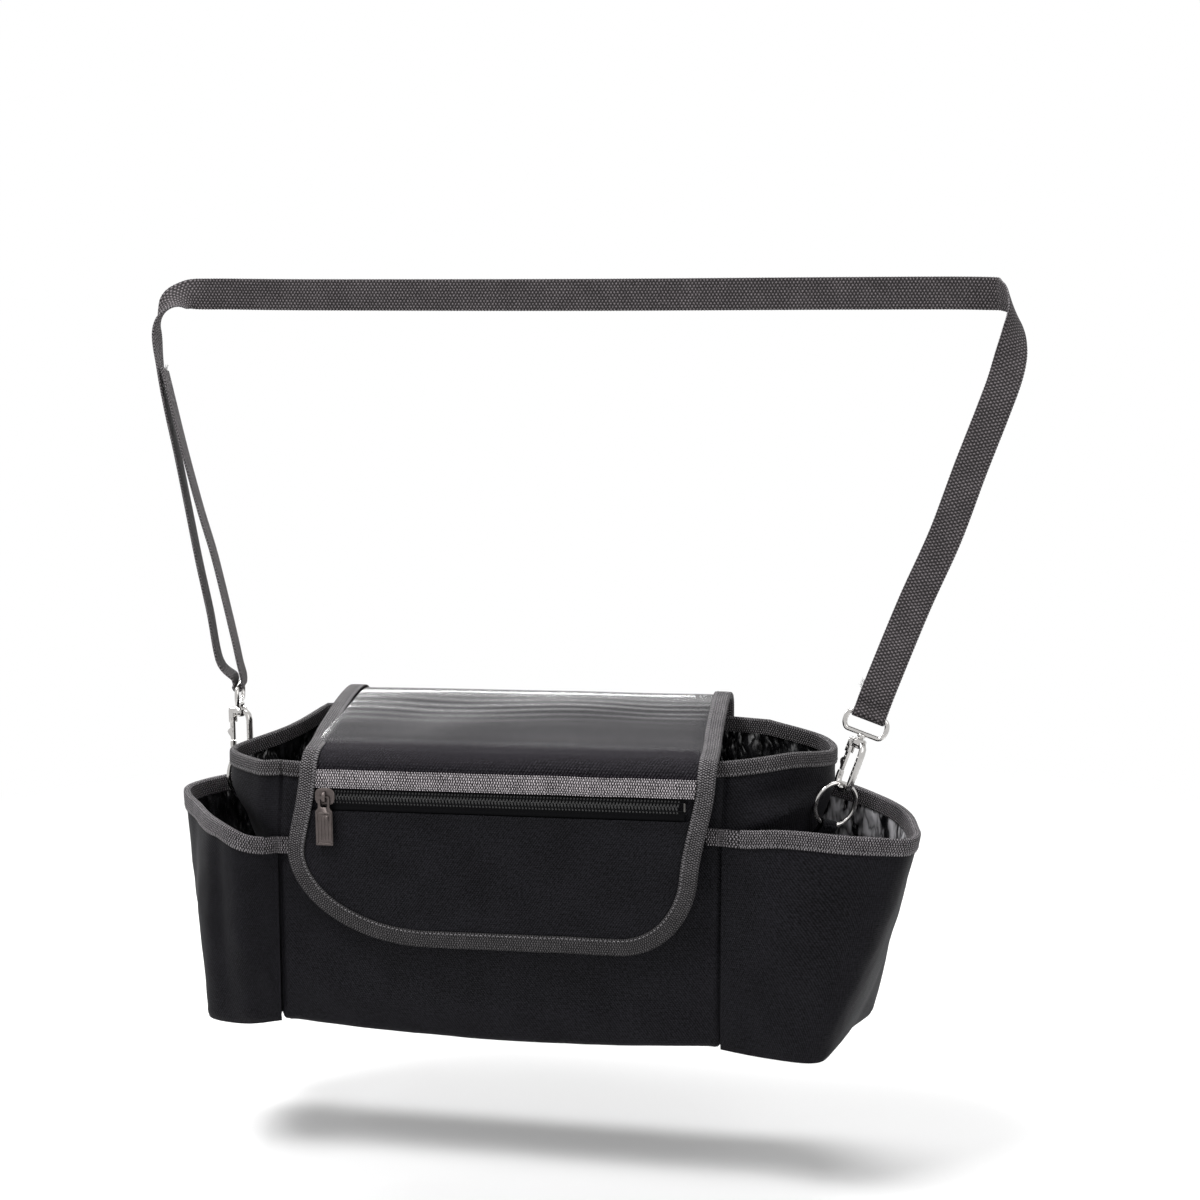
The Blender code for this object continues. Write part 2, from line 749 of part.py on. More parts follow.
def corner_rise(distance, across, along):
    """How far the lower edge rises at a distance from the side edge, on an elliptic corner."""
    if distance >= across:
        return 0.0
    part = (across - distance) / across
    return along * (1.0 - math.sqrt(max(0.0, 1.0 - part * part)))


def flap_bottom(distance_left, distance_right, inset):
    left_across, left_along = FLAP_CORNER["left"]
    right_across, right_along = FLAP_CORNER["right"]
    rise = max(corner_rise(distance_left, left_across - inset, left_along - inset),
               corner_rise(distance_right, right_across - inset, right_along - inset))
    return FLAP_LENGTH - inset - rise


def column_places(count):
    """Places across the flap, closer together near its two edges."""
    return [0.5 - 0.5 * math.cos(math.pi * i / count) for i in range(count + 1)]


def flap_sheet(name, start, stop, low, high, inset, mat, columns=14):
    """Sheet of the flap from one run to another; a stop of None follows the lower outline."""
    outer = []
    inner = []
    runs = stations(start, min(stop or CORNER_RUN, CORNER_RUN)) if start < CORNER_RUN else [start]
    lower_rows = 5 if stop is None else 0
    places = column_places(columns)
    left, right = flap_edges(FLAP_LENGTH)
    width = right - left - 2 * inset
    ends = [flap_bottom(u * width, (1.0 - u) * width, inset) for u in places]
    for r in range(len(runs) + lower_rows):
        row_out = []
        row_in = []
        for u, end in zip(places, ends):
            s = runs[r] if r < len(runs) else lerp(runs[-1], end, (r - len(runs) + 1) / lower_rows)
            left, right = flap_edges(s)
            x = lerp(left + inset, right - inset, u)
            row_out.append(flap_point(x, s, high))
            row_in.append(flap_point(x, s, low))
        outer.append(row_out)
        inner.append(row_in)
    return slab(name, outer, inner, mat)


def flap_outline(inset):
    """Edge of the flap as (x, run) pairs, down the left side, along the bottom, up the right."""
    left_end, right_end = flap_edges(FLAP_LENGTH)
    width = right_end - left_end - 2 * inset
    left_corner = FLAP_LENGTH - FLAP_CORNER["left"][1]
    right_corner = FLAP_LENGTH - FLAP_CORNER["right"][1]
    path = []
    for s in stations(0.0, left_corner)[:-1]:
        path.append((flap_edges(s)[0] + inset, s))
    for side in ("left", "right"):
        across = FLAP_CORNER[side][0] - inset
        along = FLAP_CORNER[side][1] - inset
        turns = [math.pi / 2 * i / 9 for i in range(10)]
        if side == "right":
            turns.reverse()
        for turn in turns:
            distance = across * (1.0 - math.cos(turn))
            s = FLAP_LENGTH - inset - along * (1.0 - math.sin(turn))
            left, right = flap_edges(s)
            span = (right - left - 2 * inset) / width
            if side == "left":
                path.append((left + inset + distance * span, s))
            else:
                path.append((right - inset - distance * span, s))
    for s in reversed(stations(0.0, right_corner)[:-1]):
        path.append((flap_edges(s)[1] - inset, s))
    return path


def build_flap(mats):
    inset = TAPE + GAP * 2.5
    zip_run = run_at_height(ZIP_HEIGHT)
    tape_high, tape_low = window_tape_runs(zip_run)
    face = BACKING + GAP
    flap_sheet("flap_backing", 0.0, None, 0.0, BACKING, inset, mats["cloth"])
    flap_sheet("flap_window", window_start(), tape_high + WINDOW_TUCK, face, face + FILM, inset,
               mats["film"], columns=8)
    flap_sheet("flap_pocket_panel", zip_run + COIL_HALF_WIDTH + ZIP_TAPE_WIDTH + 0.0012, None,
               face, face + FLAP_CLOTH, inset, mats["cloth"])
    edge = FLAP_TAPE_WIDTH + GAP + 0.0012
    tape_face = COIL_LOW + TAPE_LIFT + ZIP_TAPE + GAP
    band_points = []
    for lift in (tape_face, tape_face + TAPE):
        rows = []
        for s in (tape_high, lerp(tape_high, tape_low, 0.5), tape_low):
            left, right = flap_edges(s)
            rows.append([flap_point(lerp(left + edge, right - edge, c / 6), s, lift) for c in range(7)])
        band_points.append(rows)
    slab("window_tape", band_points[1], band_points[0], mats["tape"])
    build_flap_binding(mats)
    build_zip(zip_run, mats)
    build_patches(mats)


def build_flap_binding(mats):
    stack = BACKING + GAP + FLAP_CLOTH
    outline = flap_outline(inset=TAPE + GAP)
    points = [flap_point(x, s, stack) for x, s in outline]
    frames = []
    last = len(points) - 1
    for i, (x, s) in enumerate(outline):
        along = (points[min(i + 1, last)] - points[max(i - 1, 0)]).normalized()
        ny, nz = profile_at(s)[2:]
        normal = Vector((0.0, ny, nz))
        outward = along.cross(normal).normalized()
        frames.append((points[i], normal, outward))
    sweep("flap_binding", frames, fold_section(stack, FLAP_TAPE_WIDTH, TAPE), mats["tape"], cap=FOLD_CAPS)


def zip_frame(zip_run):
    """Matrix with x along the zip, y out of the flap and z down its face."""
    origin = flap_point(0.0, zip_run, 0.0)
    along = Vector((1.0, 0.0, FLAP_SHEAR)).normalized()
    ny, nz = profile_at(zip_run)[2:]
    out = Vector((0.0, ny, nz))
    out = (out - along * out.dot(along)).normalized()
    rot = Matrix((along, out, along.cross(out))).transposed().to_4x4()
    return Matrix.Translation(origin) @ rot


SLIDER_X = ZIP_LEFT + 0.0045
LOWER_PLATE = BACKING + GAP
COIL_LOW = LOWER_PLATE + SLIDER_PLATE + GAP
TAPE_LIFT = 0.0002
COIL_HIGH = COIL_LOW + COIL_DEPTH
UPPER_PLATE = COIL_HIGH + GAP
BRIDGE_TOP = 0.0038
PULL_AXIS_OUT = UPPER_PLATE + SLIDER_PLATE + 0.0015
PULL_BAR = 0.0007


def build_zip(zip_run, mats):
    place = zip_frame(zip_run)
    tape_low = COIL_LOW + TAPE_LIFT
    for name, sign in (("upper", -1.0), ("lower", 1.0)):
        near = sign * COIL_SLOT / 2
        far = sign * (COIL_SLOT / 2 + COIL_HALF_WIDTH)
        low = (ZIP_LEFT, COIL_LOW, min(near, far))
        high = (ZIP_RIGHT, COIL_HIGH, max(near, far))
        box_object("zip_coil_" + name, low, high, mats["zip"], place, bevel=0.0004)
        a = far + sign * GAP
        b = far + sign * (GAP + (ZIP_TAPE_HIDDEN if sign < 0 else ZIP_TAPE_WIDTH))
        low = (ZIP_LEFT - 0.001, tape_low, min(a, b))
        high = (ZIP_RIGHT + 0.001, tape_low + ZIP_TAPE, max(a, b))
        box_object("zip_tape_" + name, low, high, mats["zip"], place)
    stop_half = COIL_SLOT / 2 + COIL_HALF_WIDTH
    for name, x, turn in (("left", ZIP_LEFT - 0.0018, 0.0012), ("right", ZIP_RIGHT + 0.0006, 0.0012)):
        box_object("zip_stop_" + name, (x, COIL_LOW + TAPE_LIFT + ZIP_TAPE + GAP, -stop_half),
                   (x + turn, COIL_HIGH + 0.0004, stop_half), mats["nickel"], place, bevel=0.0002)
    build_slider(place, mats)


def build_slider(place, mats):
    half = SLIDER_LENGTH / 2
    wide = SLIDER_WIDTH / 2
    here = place @ Matrix.Translation((SLIDER_X, 0.0, 0.0))
    top = UPPER_PLATE + SLIDER_PLATE
    body = box_object("zip_slider", (-half, UPPER_PLATE, -wide), (half, top, wide), mats["pewter"])
    lower = box_object("lower", (-half, LOWER_PLATE, -wide), (half, LOWER_PLATE + SLIDER_PLATE, wide),
                       mats["pewter"])
    neck = box_object("neck", (-half + 0.0005, LOWER_PLATE + 0.0002, -SLIDER_NECK / 2),
                      (-half + 0.0030, top - 0.0002, SLIDER_NECK / 2), mats["pewter"])
    flange_low = COIL_LOW + TAPE_LIFT + ZIP_TAPE + GAP
    tools = [lower, neck]
    for sign in (-1.0, 1.0):
        near = sign * (wide - 0.0007)
        far = sign * wide
        tools.append(box_object("flange", (-half, flange_low, min(near, far)),
                                (half, top - 0.0003, max(near, far)), mats["pewter"]))
    for sign in (-1.0, 1.0):
        foot_low = min(sign * 0.0024, sign * 0.0036)
        foot_high = max(sign * 0.0024, sign * 0.0036)
        tools.append(box_object("foot", (-0.0013, top - 0.0003, foot_low),
                                (0.0013, top + BRIDGE_TOP - 0.0002, foot_high), mats["pewter"]))
    tools.append(box_object("bridge", (-0.0013, top + BRIDGE_TOP - 0.0011, -0.0036),
                            (0.0013, top + BRIDGE_TOP, 0.0036), mats["pewter"], bevel=0.0003))
    combine(body, tools, "UNION")
    body.data.transform(here)
    pull = box_object("zip_pull", (-PULL_WIDTH / 2, -PULL_THICK / 2, -0.0007),
                      (PULL_WIDTH / 2, PULL_THICK / 2, PULL_LENGTH - 0.0007), mats["pewter"], bevel=0.0003)
    window = box_object("window", (-0.0022, -0.002, PULL_BAR), (0.0022, 0.002, 0.0062), mats["pewter"])
    combine(pull, [window], "DIFFERENCE")
    pull.data.transform(here @ Matrix.Translation((0.0, PULL_AXIS_OUT, 0.0)))


def build_patches(mats):
    """Hook and loop pair that holds the flap's lower edge to the front panel."""
    low_height = 0.070
    for name, lift in (("flap_hook_patch", -GAP), ("flap_loop_patch", None)):
        outer = []
        inner = []
        for r in range(5):
            z = low_height + PATCH_HEIGHT * r / 4
            row_out = []
            row_in = []
            for c in range(7):
                x = lerp(-PATCH_WIDTH / 2, PATCH_WIDTH / 2, c / 6)
                if lift is None:
                    u = 0.5 + x / (2 * PANEL_HALF)
                    wall = front_wall_point(u, z / front_rim_height(u)).y - GAP
                    row_in.append(Vector((x, wall, z)))
                    row_out.append(Vector((x, wall - PATCH_THICK, z)))
                else:
                    s = run_at_height(z - FLAP_SHEAR * x)
                    row_out.append(flap_point(x, s, lift))
                    row_in.append(flap_point(x, s, lift - PATCH_THICK))
            outer.append(row_out)
            inner.append(row_in)
        slab(name, outer, inner, mats["zip"])


# Rings, hooks and tabs. Each side has a frame: the point inside the hook's bend where the
# ring's wire lies, the direction of pull (up), and the direction of the ring's wire there.

CONTACT = {"left": Vector((-PANEL_HALF - 0.0490, 0.0720, 0.1525)),
           "right": Vector((PANEL_HALF + 0.0671, 0.0476, 0.1535))}
PULL_WAY = {"left": Vector((0.010, -0.060, 1.0)).normalized(),
            "right": Vector((0.330, 0.030, 0.944)).normalized()}
RING_WAY = {"left": Vector((0.34, 0.94, 0.0)).normalized(), "right": Vector((0.84, 0.54, 0.0)).normalized()}
TAB_PLACE = {"left": 0.62, "right": 0.46}
LOOP_UP = 0.0090


def square_frame(origin, up, side):
    """Matrix whose z is up, whose x is the part of side square to it, and y = z cross x."""
    x = (side - up * side.dot(up)).normalized()
    y = up.cross(x)
    rot = Matrix((x, y, up)).transposed().to_4x4()
    return Matrix.Translation(origin) @ rot


def ring_frame(side):
    """Origin on the ring's lower wire, x along that wire, z towards the hook."""
    up = PULL_WAY[side]
    lower = CONTACT[side] - up * (2 * RING_RADIUS)
    return square_frame(lower, up, RING_WAY[side])


def hook_frame(side):
    """Origin at the swivel, z up the pull, x across the hook's eye, square to the ring's wire."""
    up = PULL_WAY[side]
    drop = EYE_DROP + EYE_HALF - EYE_PLAY - WIRE / 2
    across = RING_WAY[side].cross(up)
    return square_frame(CONTACT[side] + up * drop, up, across)


STRAP_WAY = {"left": Vector((-0.20, 0.98, 0.0)).normalized(),
             "right": Vector((0.944, 0.0, -0.330)).normalized()}


def build_ring(side, mats):
    frames = []
    count = 24
    for i in range(count):
        turn = 2 * math.pi * i / count
        out = Vector((math.sin(turn), 0.0, -math.cos(turn)))
        frames.append((out * RING_RADIUS + Vector((0, 0, RING_RADIUS)), out, Vector((0, 1, 0))))
    item = sweep("ring_" + side, frames, round_section(WIRE / 2, 8), mats["nickel"], closed=True)
    item.data.transform(ring_frame(side))


def build_tab(side, mats):
    """Ribbon folded over the ring's lower wire, its two layers sewn to the end wall."""
    frame = ring_frame(side)
    wire = frame.translation
    place = TAB_PLACE[side]
    rim = side_wall_point(side, place, 1.0).z

    def wall_at(height):
        t = height / rim
        point = side_wall_point(side, place, t)
        ahead = side_wall_point(side, place + 0.01, t) - side_wall_point(side, place - 0.01, t)
        rise = side_wall_point(side, place, t + 0.02) - side_wall_point(side, place, t - 0.02)
        normal = ahead.cross(rise).normalized()
        if normal.x * point.x < 0:
            normal = -normal
        return point, normal, ahead.normalized()

    half = TAB_THICK / 2
    across, out, top = (frame.to_3x3().col[i].copy() for i in range(3))
    radius = WIRE / 2 + GAP + half
    low_point, low_normal, low_along = wall_at(wire.z - 0.030)
    high_point, high_normal, high_along = wall_at(wire.z - 0.017)
    if out.dot(high_normal) < 0:
        out = -out
    if across.dot(high_along) < 0:
        across = -across
    crest = wire + top * 0.0010
    near = GAP * 3 + half
    far = near + TAB_THICK + GAP * 2
    path = [(low_point + low_normal * near, low_along)]
    path.append((high_point + high_normal * near, high_along))
    path.append((crest - out * radius - top * 0.003, across))
    for i in range(9):
        turn = math.pi * i / 8
        path.append((crest - out * (radius * math.cos(turn)) + top * (radius * math.sin(turn)), across))
    path.append((crest + out * radius - top * 0.003, across))
    path.append((high_point + high_normal * far, high_along))
    path.append((low_point + low_normal * far, low_along))
    frames = []
    last = len(path) - 1
    for i, (point, wide) in enumerate(path):
        along = (path[min(i + 1, last)][0] - path[max(i - 1, 0)][0]).normalized()
        wide = (wide - along * wide.dot(along)).normalized()
        frames.append((point, wide, along.cross(wide)))
    section = [(-TAB_WIDTH / 2, -half), (TAB_WIDTH / 2, -half), (TAB_WIDTH / 2, half), (-TAB_WIDTH / 2, half)]
    sweep("ring_tab_" + side, frames, section, mats["cloth"])


def build_hook_loop(side, mats):
    """Oval loop that takes the webbing, with the stud that the hook turns on."""
    frame = hook_frame(side)
    up = frame.to_3x3().col[2]
    loop = square_frame(frame.translation, up, STRAP_WAY[side])
    wide = LOOP_WIDTH / 2 - LOOP_WIRE / 2
    tall = LOOP_HEIGHT / 2 - LOOP_WIRE / 2
    end = LOOP_END
    frames = []
    for sign in (1.0, -1.0):
        for i in range(9):
            turn = sign * math.pi / 2 - math.pi * i / 8
            x = sign * (wide - end) + end * math.cos(turn)
            out = Vector((math.cos(turn) / end, 0.0, math.sin(turn) / tall)).normalized()
            frames.append((Vector((x, 0.0, tall * math.sin(turn) + LOOP_UP)), out, Vector((0, 1, 0))))
    item = sweep("hook_loop_" + side, frames, round_section(LOOP_WIRE / 2, 8), mats["nickel"], closed=True)
    reach = LOOP_UP - LOOP_HEIGHT / 2
    stud = cylinder_object("stud", STUD / 2, -0.0062, reach + 0.0012, "z", mats["nickel"], 12)
    head = cylinder_object("head", STUD / 2 + 0.0011, -0.0062, -0.0048, "z", mats["nickel"], 12)
    combine(item, [stud, head], "UNION")
    item.data.transform(loop)


def build_hook(side, mats):
    """Trigger snap hook: collar on the stud, spine, bend and tip, with a sprung gate."""
    place = hook_frame(side)
    half_bar = HOOK_BAR / 2
    line = EYE_HALF + half_bar
    path = [Vector((0.0022, 0, -0.0022)), Vector((line - 0.0012, 0, -0.0042)), Vector((line, 0, -0.0075))]
    path.append(Vector((line, 0, -EYE_DROP + 0.004)))
    for i in range(13):
        turn = math.pi * i / 12
        path.append(Vector((line * math.cos(turn), 0, -EYE_DROP - line * math.sin(turn))))
    path.append(Vector((-line, 0, -EYE_DROP + 0.0030)))
    frames = []
    last = len(path) - 1
    for i, point in enumerate(path):
        along = (path[min(i + 1, last)] - path[max(i - 1, 0)]).normalized()
        frames.append((point, Vector((0, 1, 0)), along.cross(Vector((0, 1, 0)))))
    thick = HOOK_THICK / 2
    cut = 0.0007
    section = [(-thick, -half_bar + cut), (-thick + cut, -half_bar), (thick - cut, -half_bar),
               (thick, -half_bar + cut), (thick, half_bar - cut), (thick - cut, half_bar),
               (-thick + cut, half_bar), (-thick, half_bar - cut)]
    body = sweep("hook_body_" + side, frames, section, mats["nickel"])
    collar = cylinder_object("collar", 0.0042, -0.0044, -0.0004, "z", mats["nickel"], 16)
    shoulder = box_object("shoulder", (-line - half_bar, -thick, -GATE_TOP - 0.0022),
                          (-line + half_bar + 0.0004, thick, -0.0022), mats["nickel"], bevel=0.0005)
    arm = box_object("arm", (-line, -thick + 0.0002, -0.0046), (0.0, thick - 0.0002, -0.0014), mats["nickel"])
    combine(body, [collar, shoulder, arm], "UNION")
    bore = cylinder_object("bore", STUD / 2 + GAP, -0.0100, 0.0020, "z", mats["nickel"], 12)
    room = cylinder_object("room", STUD / 2 + 0.0011 + GAP, -0.0066, -0.0045, "z", mats["nickel"], 12)
    slot_half = GATE_THICK / 2 + GAP
    slot = box_object("slot", (-line - 0.005, -slot_half, -GATE_TOP - 0.004),
                      (-line + 0.005, slot_half, -GATE_TOP + 0.0022), mats["nickel"])
    hole = cylinder_object("hole", GATE_PIN / 2 + GAP * 0.6, -0.004, 0.004, "y", mats["nickel"], 12)
    hole.data.transform(Matrix.Translation((-line, 0, -GATE_TOP)))
    combine(body, [bore, room, slot, hole], "DIFFERENCE")
    body.data.transform(place)
    build_gate(side, place, line, half_bar, mats)


def build_gate(side, place, line, half_bar, mats):
    reach = EYE_DROP - 0.0030 - GATE_TOP - GAP
    gate = box_object("hook_gate_" + side, (-half_bar + 0.0002, -GATE_THICK / 2, -reach),
                      (half_bar - 0.0002, GATE_THICK / 2, 0.0006), mats["nickel"])
    eye = cylinder_object("eye", half_bar - 0.0001, -GATE_THICK / 2, GATE_THICK / 2, "y", mats["nickel"], 12)
    knob = box_object("knob", (-half_bar - 0.0022, -GATE_THICK / 2 + 0.0001, -reach + 0.0034),
                      (-half_bar + 0.0004, GATE_THICK / 2 - 0.0001, -reach + 0.0062), mats["nickel"],
                      bevel=0.0004)
    combine(gate, [eye, knob], "UNION")
    hole = cylinder_object("hole", GATE_PIN / 2 + GAP * 0.6, -0.004, 0.004, "y", mats["nickel"], 12)
    combine(gate, [hole], "DIFFERENCE")
    pivot = Matrix.Translation((-line, 0, -GATE_TOP))
    gate.data.transform(place @ pivot)
    end = HOOK_THICK / 2 - 0.0002
    pin = cylinder_object("hook_pin_" + side, GATE_PIN / 2, -end, end, "y", mats["nickel"], 12)
    pin.data.transform(place @ pivot)


# Strap

def loop_bar(side):
    """Middle of the loop's upper bar, where the webbing turns."""
    frame = hook_frame(side)
    up = frame.to_3x3().col[2]
    return frame.translation + up * (LOOP_UP + LOOP_HEIGHT / 2 - LOOP_WIRE / 2), up


def turn_about_bar(bar, up, away, radius, steps):
    """Half turn over the bar's far side, from +away to -away, passing above the bar."""
    turns = [math.pi * i / steps for i in range(steps + 1)]
    return [bar + away * (radius * math.cos(a)) - up * (radius * math.sin(a)) for a in turns]


# The strap's route: each point is how far it is out from its front seam, its depth and its height.
RIGHT_RUN = [(0.1062, 0.0620, 0.2607), (0.1233, 0.0680, 0.3012), (0.1369, 0.0750, 0.3407),
             (0.1495, 0.0820, 0.3754), (0.1565, 0.0880, 0.3965)]
RIGHT_WRAP = [(0.1605, 0.0950, 0.4170), (0.1605, 0.1060, 0.4330), (0.1540, 0.1200, 0.4425),
              (0.1400, 0.1300, 0.4445)]
RIGHT_LEVEL = [(0.0640, 0.1300, 0.4445), (-0.1100, 0.1300, 0.4435)]
LEFT_LEVEL = [(0.0120, 0.1300, 0.4435), (0.0820, 0.1300, 0.4440)]
LEFT_WRAP = [(0.1010, 0.1260, 0.4430), (0.1095, 0.1160, 0.4350), (0.1123, 0.1060, 0.4200)]
LEFT_DOWN = [(0.1090, 0.1010, 0.3960), (0.1026, 0.0960, 0.3699), (0.0951, 0.0920, 0.3412),
             (0.0866, 0.0870, 0.3062), (0.0782, 0.0805, 0.2747), (0.0693, 0.0745, 0.2433),
             (0.0608, 0.0675, 0.2122)]
LEFT_UP = [(0.0477, 0.0685, 0.2112), (0.0524, 0.0715, 0.2281), (0.0619, 0.0775, 0.2593),
           (0.0689, 0.0815, 0.2813), (0.0790, 0.0870, 0.3080), (0.0905, 0.0920, 0.3445),
           (0.0990, 0.0960, 0.3740), (0.1055, 0.0995, 0.3960)]


def route(side, points):
    """Points of the strap's route, moved out from the front seam on their side."""
    sign = -1.0 if side == "left" else 1.0
    return [Vector((sign * (PANEL_HALF + out), y, z)) for out, y, z in points]


def strap_path():
    """Middle line of the webbing with the direction of its width at each point."""
    radius = LOOP_WIRE / 2 + GAP * 2 + WEBBING / 2
    path = []
    bar, up = loop_bar("right")
    wide = (STRAP_WAY["right"] - up * STRAP_WAY["right"].dot(up)).normalized()
    back = up.cross(wide).normalized()
    if back.y < 0:
        back = -back
    layer = WEBBING + GAP
    for rise in (SEWN_FOLD, SEWN_FOLD * 0.55, 0.0050):
        path.append((bar + up * rise + back * (layer / 2), wide))
    for point in turn_about_bar(bar, up, back, radius, 8):
        path.append((point, wide))
    path.append((bar + up * 0.0050 - back * (layer / 2), wide))
    path.append((bar + up * SEWN_FOLD - back * (layer / 2), wide))
    for point in route("right", RIGHT_RUN):
        path.append((point, wide))
    twist = [Vector((0.75, 0.45, -0.50)), Vector((0.35, 0.75, -0.60)),
             Vector((0.10, 0.45, -0.90)), Vector((0, 0, -1))]
    for point, side in zip(route("right", RIGHT_WRAP), twist):
        path.append((point, side.normalized()))
    for point in route("right", RIGHT_LEVEL) + route("left", LEFT_LEVEL):
        path.append((point, Vector((0, 0, -1))))
    twist = [Vector((0.10, -0.45, -0.90)), Vector((0.20, -0.85, -0.50)), Vector((0.10, -0.97, -0.25))]
    for point, side in zip(route("left", LEFT_WRAP), twist):
        path.append((point, side.normalized()))
    flat = Vector((0.20, -0.98, 0.0))
    for point in route("left", LEFT_DOWN):
        path.append((point, flat))
    bar, up = loop_bar("left")
    rise = up * (radius * 1.6)
    level = (flat - up * flat.dot(up)).normalized()
    away = level.cross(up)
    path.append((bar + away * radius + rise, level))
    for point in turn_about_bar(bar, up, away, radius, 8):
        path.append((point, level))
    path.append((bar - away * radius + rise, level))
    for point in route("left", LEFT_UP):
        path.append((point, flat))
    return path


def build_strap(mats):
    path = strap_path()
    frames = []
    last = len(path) - 1
    half_wide = WEBBING_WIDTH / 2
    half = WEBBING / 2
    lengths = [(path[i + 1][0] - path[i][0]).length for i in range(last)]
    places = []
    for i in range(last):
        pieces = max(1, min(8, round(lengths[i] / 0.016)))
        for k in range(pieces):
            places.append((i + k / pieces) / last)
    places.append(1.0)
    flat = [tuple(p) + tuple(w) for p, w in path]
    points = []
    widths = []
    for u in places:
        value = curve_at(flat, u)
        points.append(Vector(value[:3]))
        widths.append(Vector(value[3:]))
    end = len(points) - 1
    for i, point in enumerate(points):
        along = (points[min(i + 1, end)] - points[max(i - 1, 0)]).normalized()
        wide = (widths[i] - along * widths[i].dot(along)).normalized()
        thick = along.cross(wide).normalized()
        frames.append((point, wide, thick))
    section = [(-half_wide, -half), (half_wide, -half), (half_wide, half), (-half_wide, half)]
    sweep("strap_webbing", frames, section, mats["webbing"])


def hang_from_run():
    """Parent every piece to an empty that brings the strap's level run to the origin."""
    frame = bpy.data.objects.new("hanging_frame", None)
    bpy.context.scene.collection.objects.link(frame)
    frame.location = (-RUN_MIDDLE, -RUN_DEPTH, -RUN_HEIGHT)
    for item in list(bpy.context.scene.objects):
        if item.type == "MESH":
            item.parent = frame


def main():
    clear_scene()
    mats = make_materials()
    build_walls(mats)
    build_lining(mats)
    build_base(mats)
    build_dividers(mats)
    build_main_binding(mats)
    build_flap(mats)
    for side in ("left", "right"):
        build_pocket(side, mats)
        build_ring(side, mats)
        build_tab(side, mats)
        build_hook_loop(side, mats)
        build_hook(side, mats)
    build_strap(mats)
    hang_from_run()


main()
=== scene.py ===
# Looks of the stroller organizer bag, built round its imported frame, in metres with +Z up.
# Soft pieces are worked out in the bag's own frame (x = 0 midway between the front seams,
# y = 0 on the front panel, z = 0 under the base) and moved by HANG to where the bag hangs.
import math
import random

import bmesh
import bpy
from mathutils import Matrix, Vector, noise


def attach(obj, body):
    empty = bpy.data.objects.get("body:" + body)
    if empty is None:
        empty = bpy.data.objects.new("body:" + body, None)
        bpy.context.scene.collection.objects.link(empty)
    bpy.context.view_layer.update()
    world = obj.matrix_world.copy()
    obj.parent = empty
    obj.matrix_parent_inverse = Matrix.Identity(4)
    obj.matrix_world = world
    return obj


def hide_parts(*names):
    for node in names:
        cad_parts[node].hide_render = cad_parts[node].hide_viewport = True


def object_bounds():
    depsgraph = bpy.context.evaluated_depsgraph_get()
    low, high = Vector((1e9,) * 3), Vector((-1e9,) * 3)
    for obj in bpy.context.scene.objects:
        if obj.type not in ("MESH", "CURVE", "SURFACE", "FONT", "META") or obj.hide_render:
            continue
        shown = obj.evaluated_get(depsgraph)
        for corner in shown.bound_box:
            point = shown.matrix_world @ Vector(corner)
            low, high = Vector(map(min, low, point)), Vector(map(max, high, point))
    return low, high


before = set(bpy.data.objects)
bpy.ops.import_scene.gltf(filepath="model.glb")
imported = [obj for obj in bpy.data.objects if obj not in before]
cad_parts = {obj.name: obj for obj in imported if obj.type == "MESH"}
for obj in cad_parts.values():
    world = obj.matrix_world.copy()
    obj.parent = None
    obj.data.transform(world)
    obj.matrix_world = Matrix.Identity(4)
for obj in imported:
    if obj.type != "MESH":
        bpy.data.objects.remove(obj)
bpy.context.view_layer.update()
HANG = Vector((-0.026, -0.130, -0.4445))
BAG = "organizer"
SIDES = (("left", -1.0), ("right", 1.0))
SIGN = dict(SIDES)
random.seed(7)

# Main compartment, as in the part
PANEL_HALF = 0.136
BODY_DEPTH = 0.112
FRONT_RIM = 0.160
BACK_RIM = 0.184
BASE_FLARE_START = 0.30
RIM_START = 0.92
FRONT_BELLY = 0.005
FABRIC = 0.0015
LINING = 0.0006
BOARD = 0.0025
GAP = 0.0003
DIVIDER_X = 0.066
DIVIDER_HEIGHT = 0.112
DIVIDER_HALF = 0.0006
TIP_OUT = {"left": 0.046, "right": 0.060}
TIP_DEPTH = {"left": 0.047, "right": 0.060}
TIP_RIM = {"left": 0.160, "right": 0.1705}
SEAM_RIM = {"left": 0.1610, "right": 0.1720}
SEAM_LEAN = {"left": 0.009, "right": 0.0115}
FRONT_LEAN = 0.011
LEAN_START = 0.72
SHOULDER_OUT = {"left": 0.018, "right": 0.036}
SHOULDER_DEPTH = {"left": 0.010, "right": 0.020}
SHOULDER_RIM = {"left": 0.1600, "right": 0.1750}
HEEL_OUT = {"left": 0.019, "right": 0.051}
HEEL_DEPTH = {"left": 0.081, "right": 0.100}
HEEL_RIM = {"left": 0.169, "right": 0.1705}
BACK_SEAM_OUT = {"left": 0.004, "right": 0.016}
BACK_SEAM_RIM = {"left": 0.177, "right": 0.177}

# End pockets, as in the part
POCKET_RIM_SEAM = {"left": 0.1150, "right": 0.1335}
POCKET_RIM_FRONT = {"left": 0.1200, "right": 0.1360}
POCKET_RIM_CORNER = {"left": 0.1250, "right": 0.1340}
POCKET_RIM_TIP = {"left": 0.1300, "right": 0.1315}
POCKET_RIM_BACK = {"left": 0.132, "right": 0.134}
POCKET_RIM_END = {"left": 0.138, "right": 0.141}
POCKET_FULLNESS = 0.004
POCKET_BASE_REACH = {"left": 0.053, "right": 0.064}
POCKET_BASE_BACK = {"left": 0.066, "right": 0.084}
POCKET_RIM_REACH = {"left": 0.083, "right": 0.115}

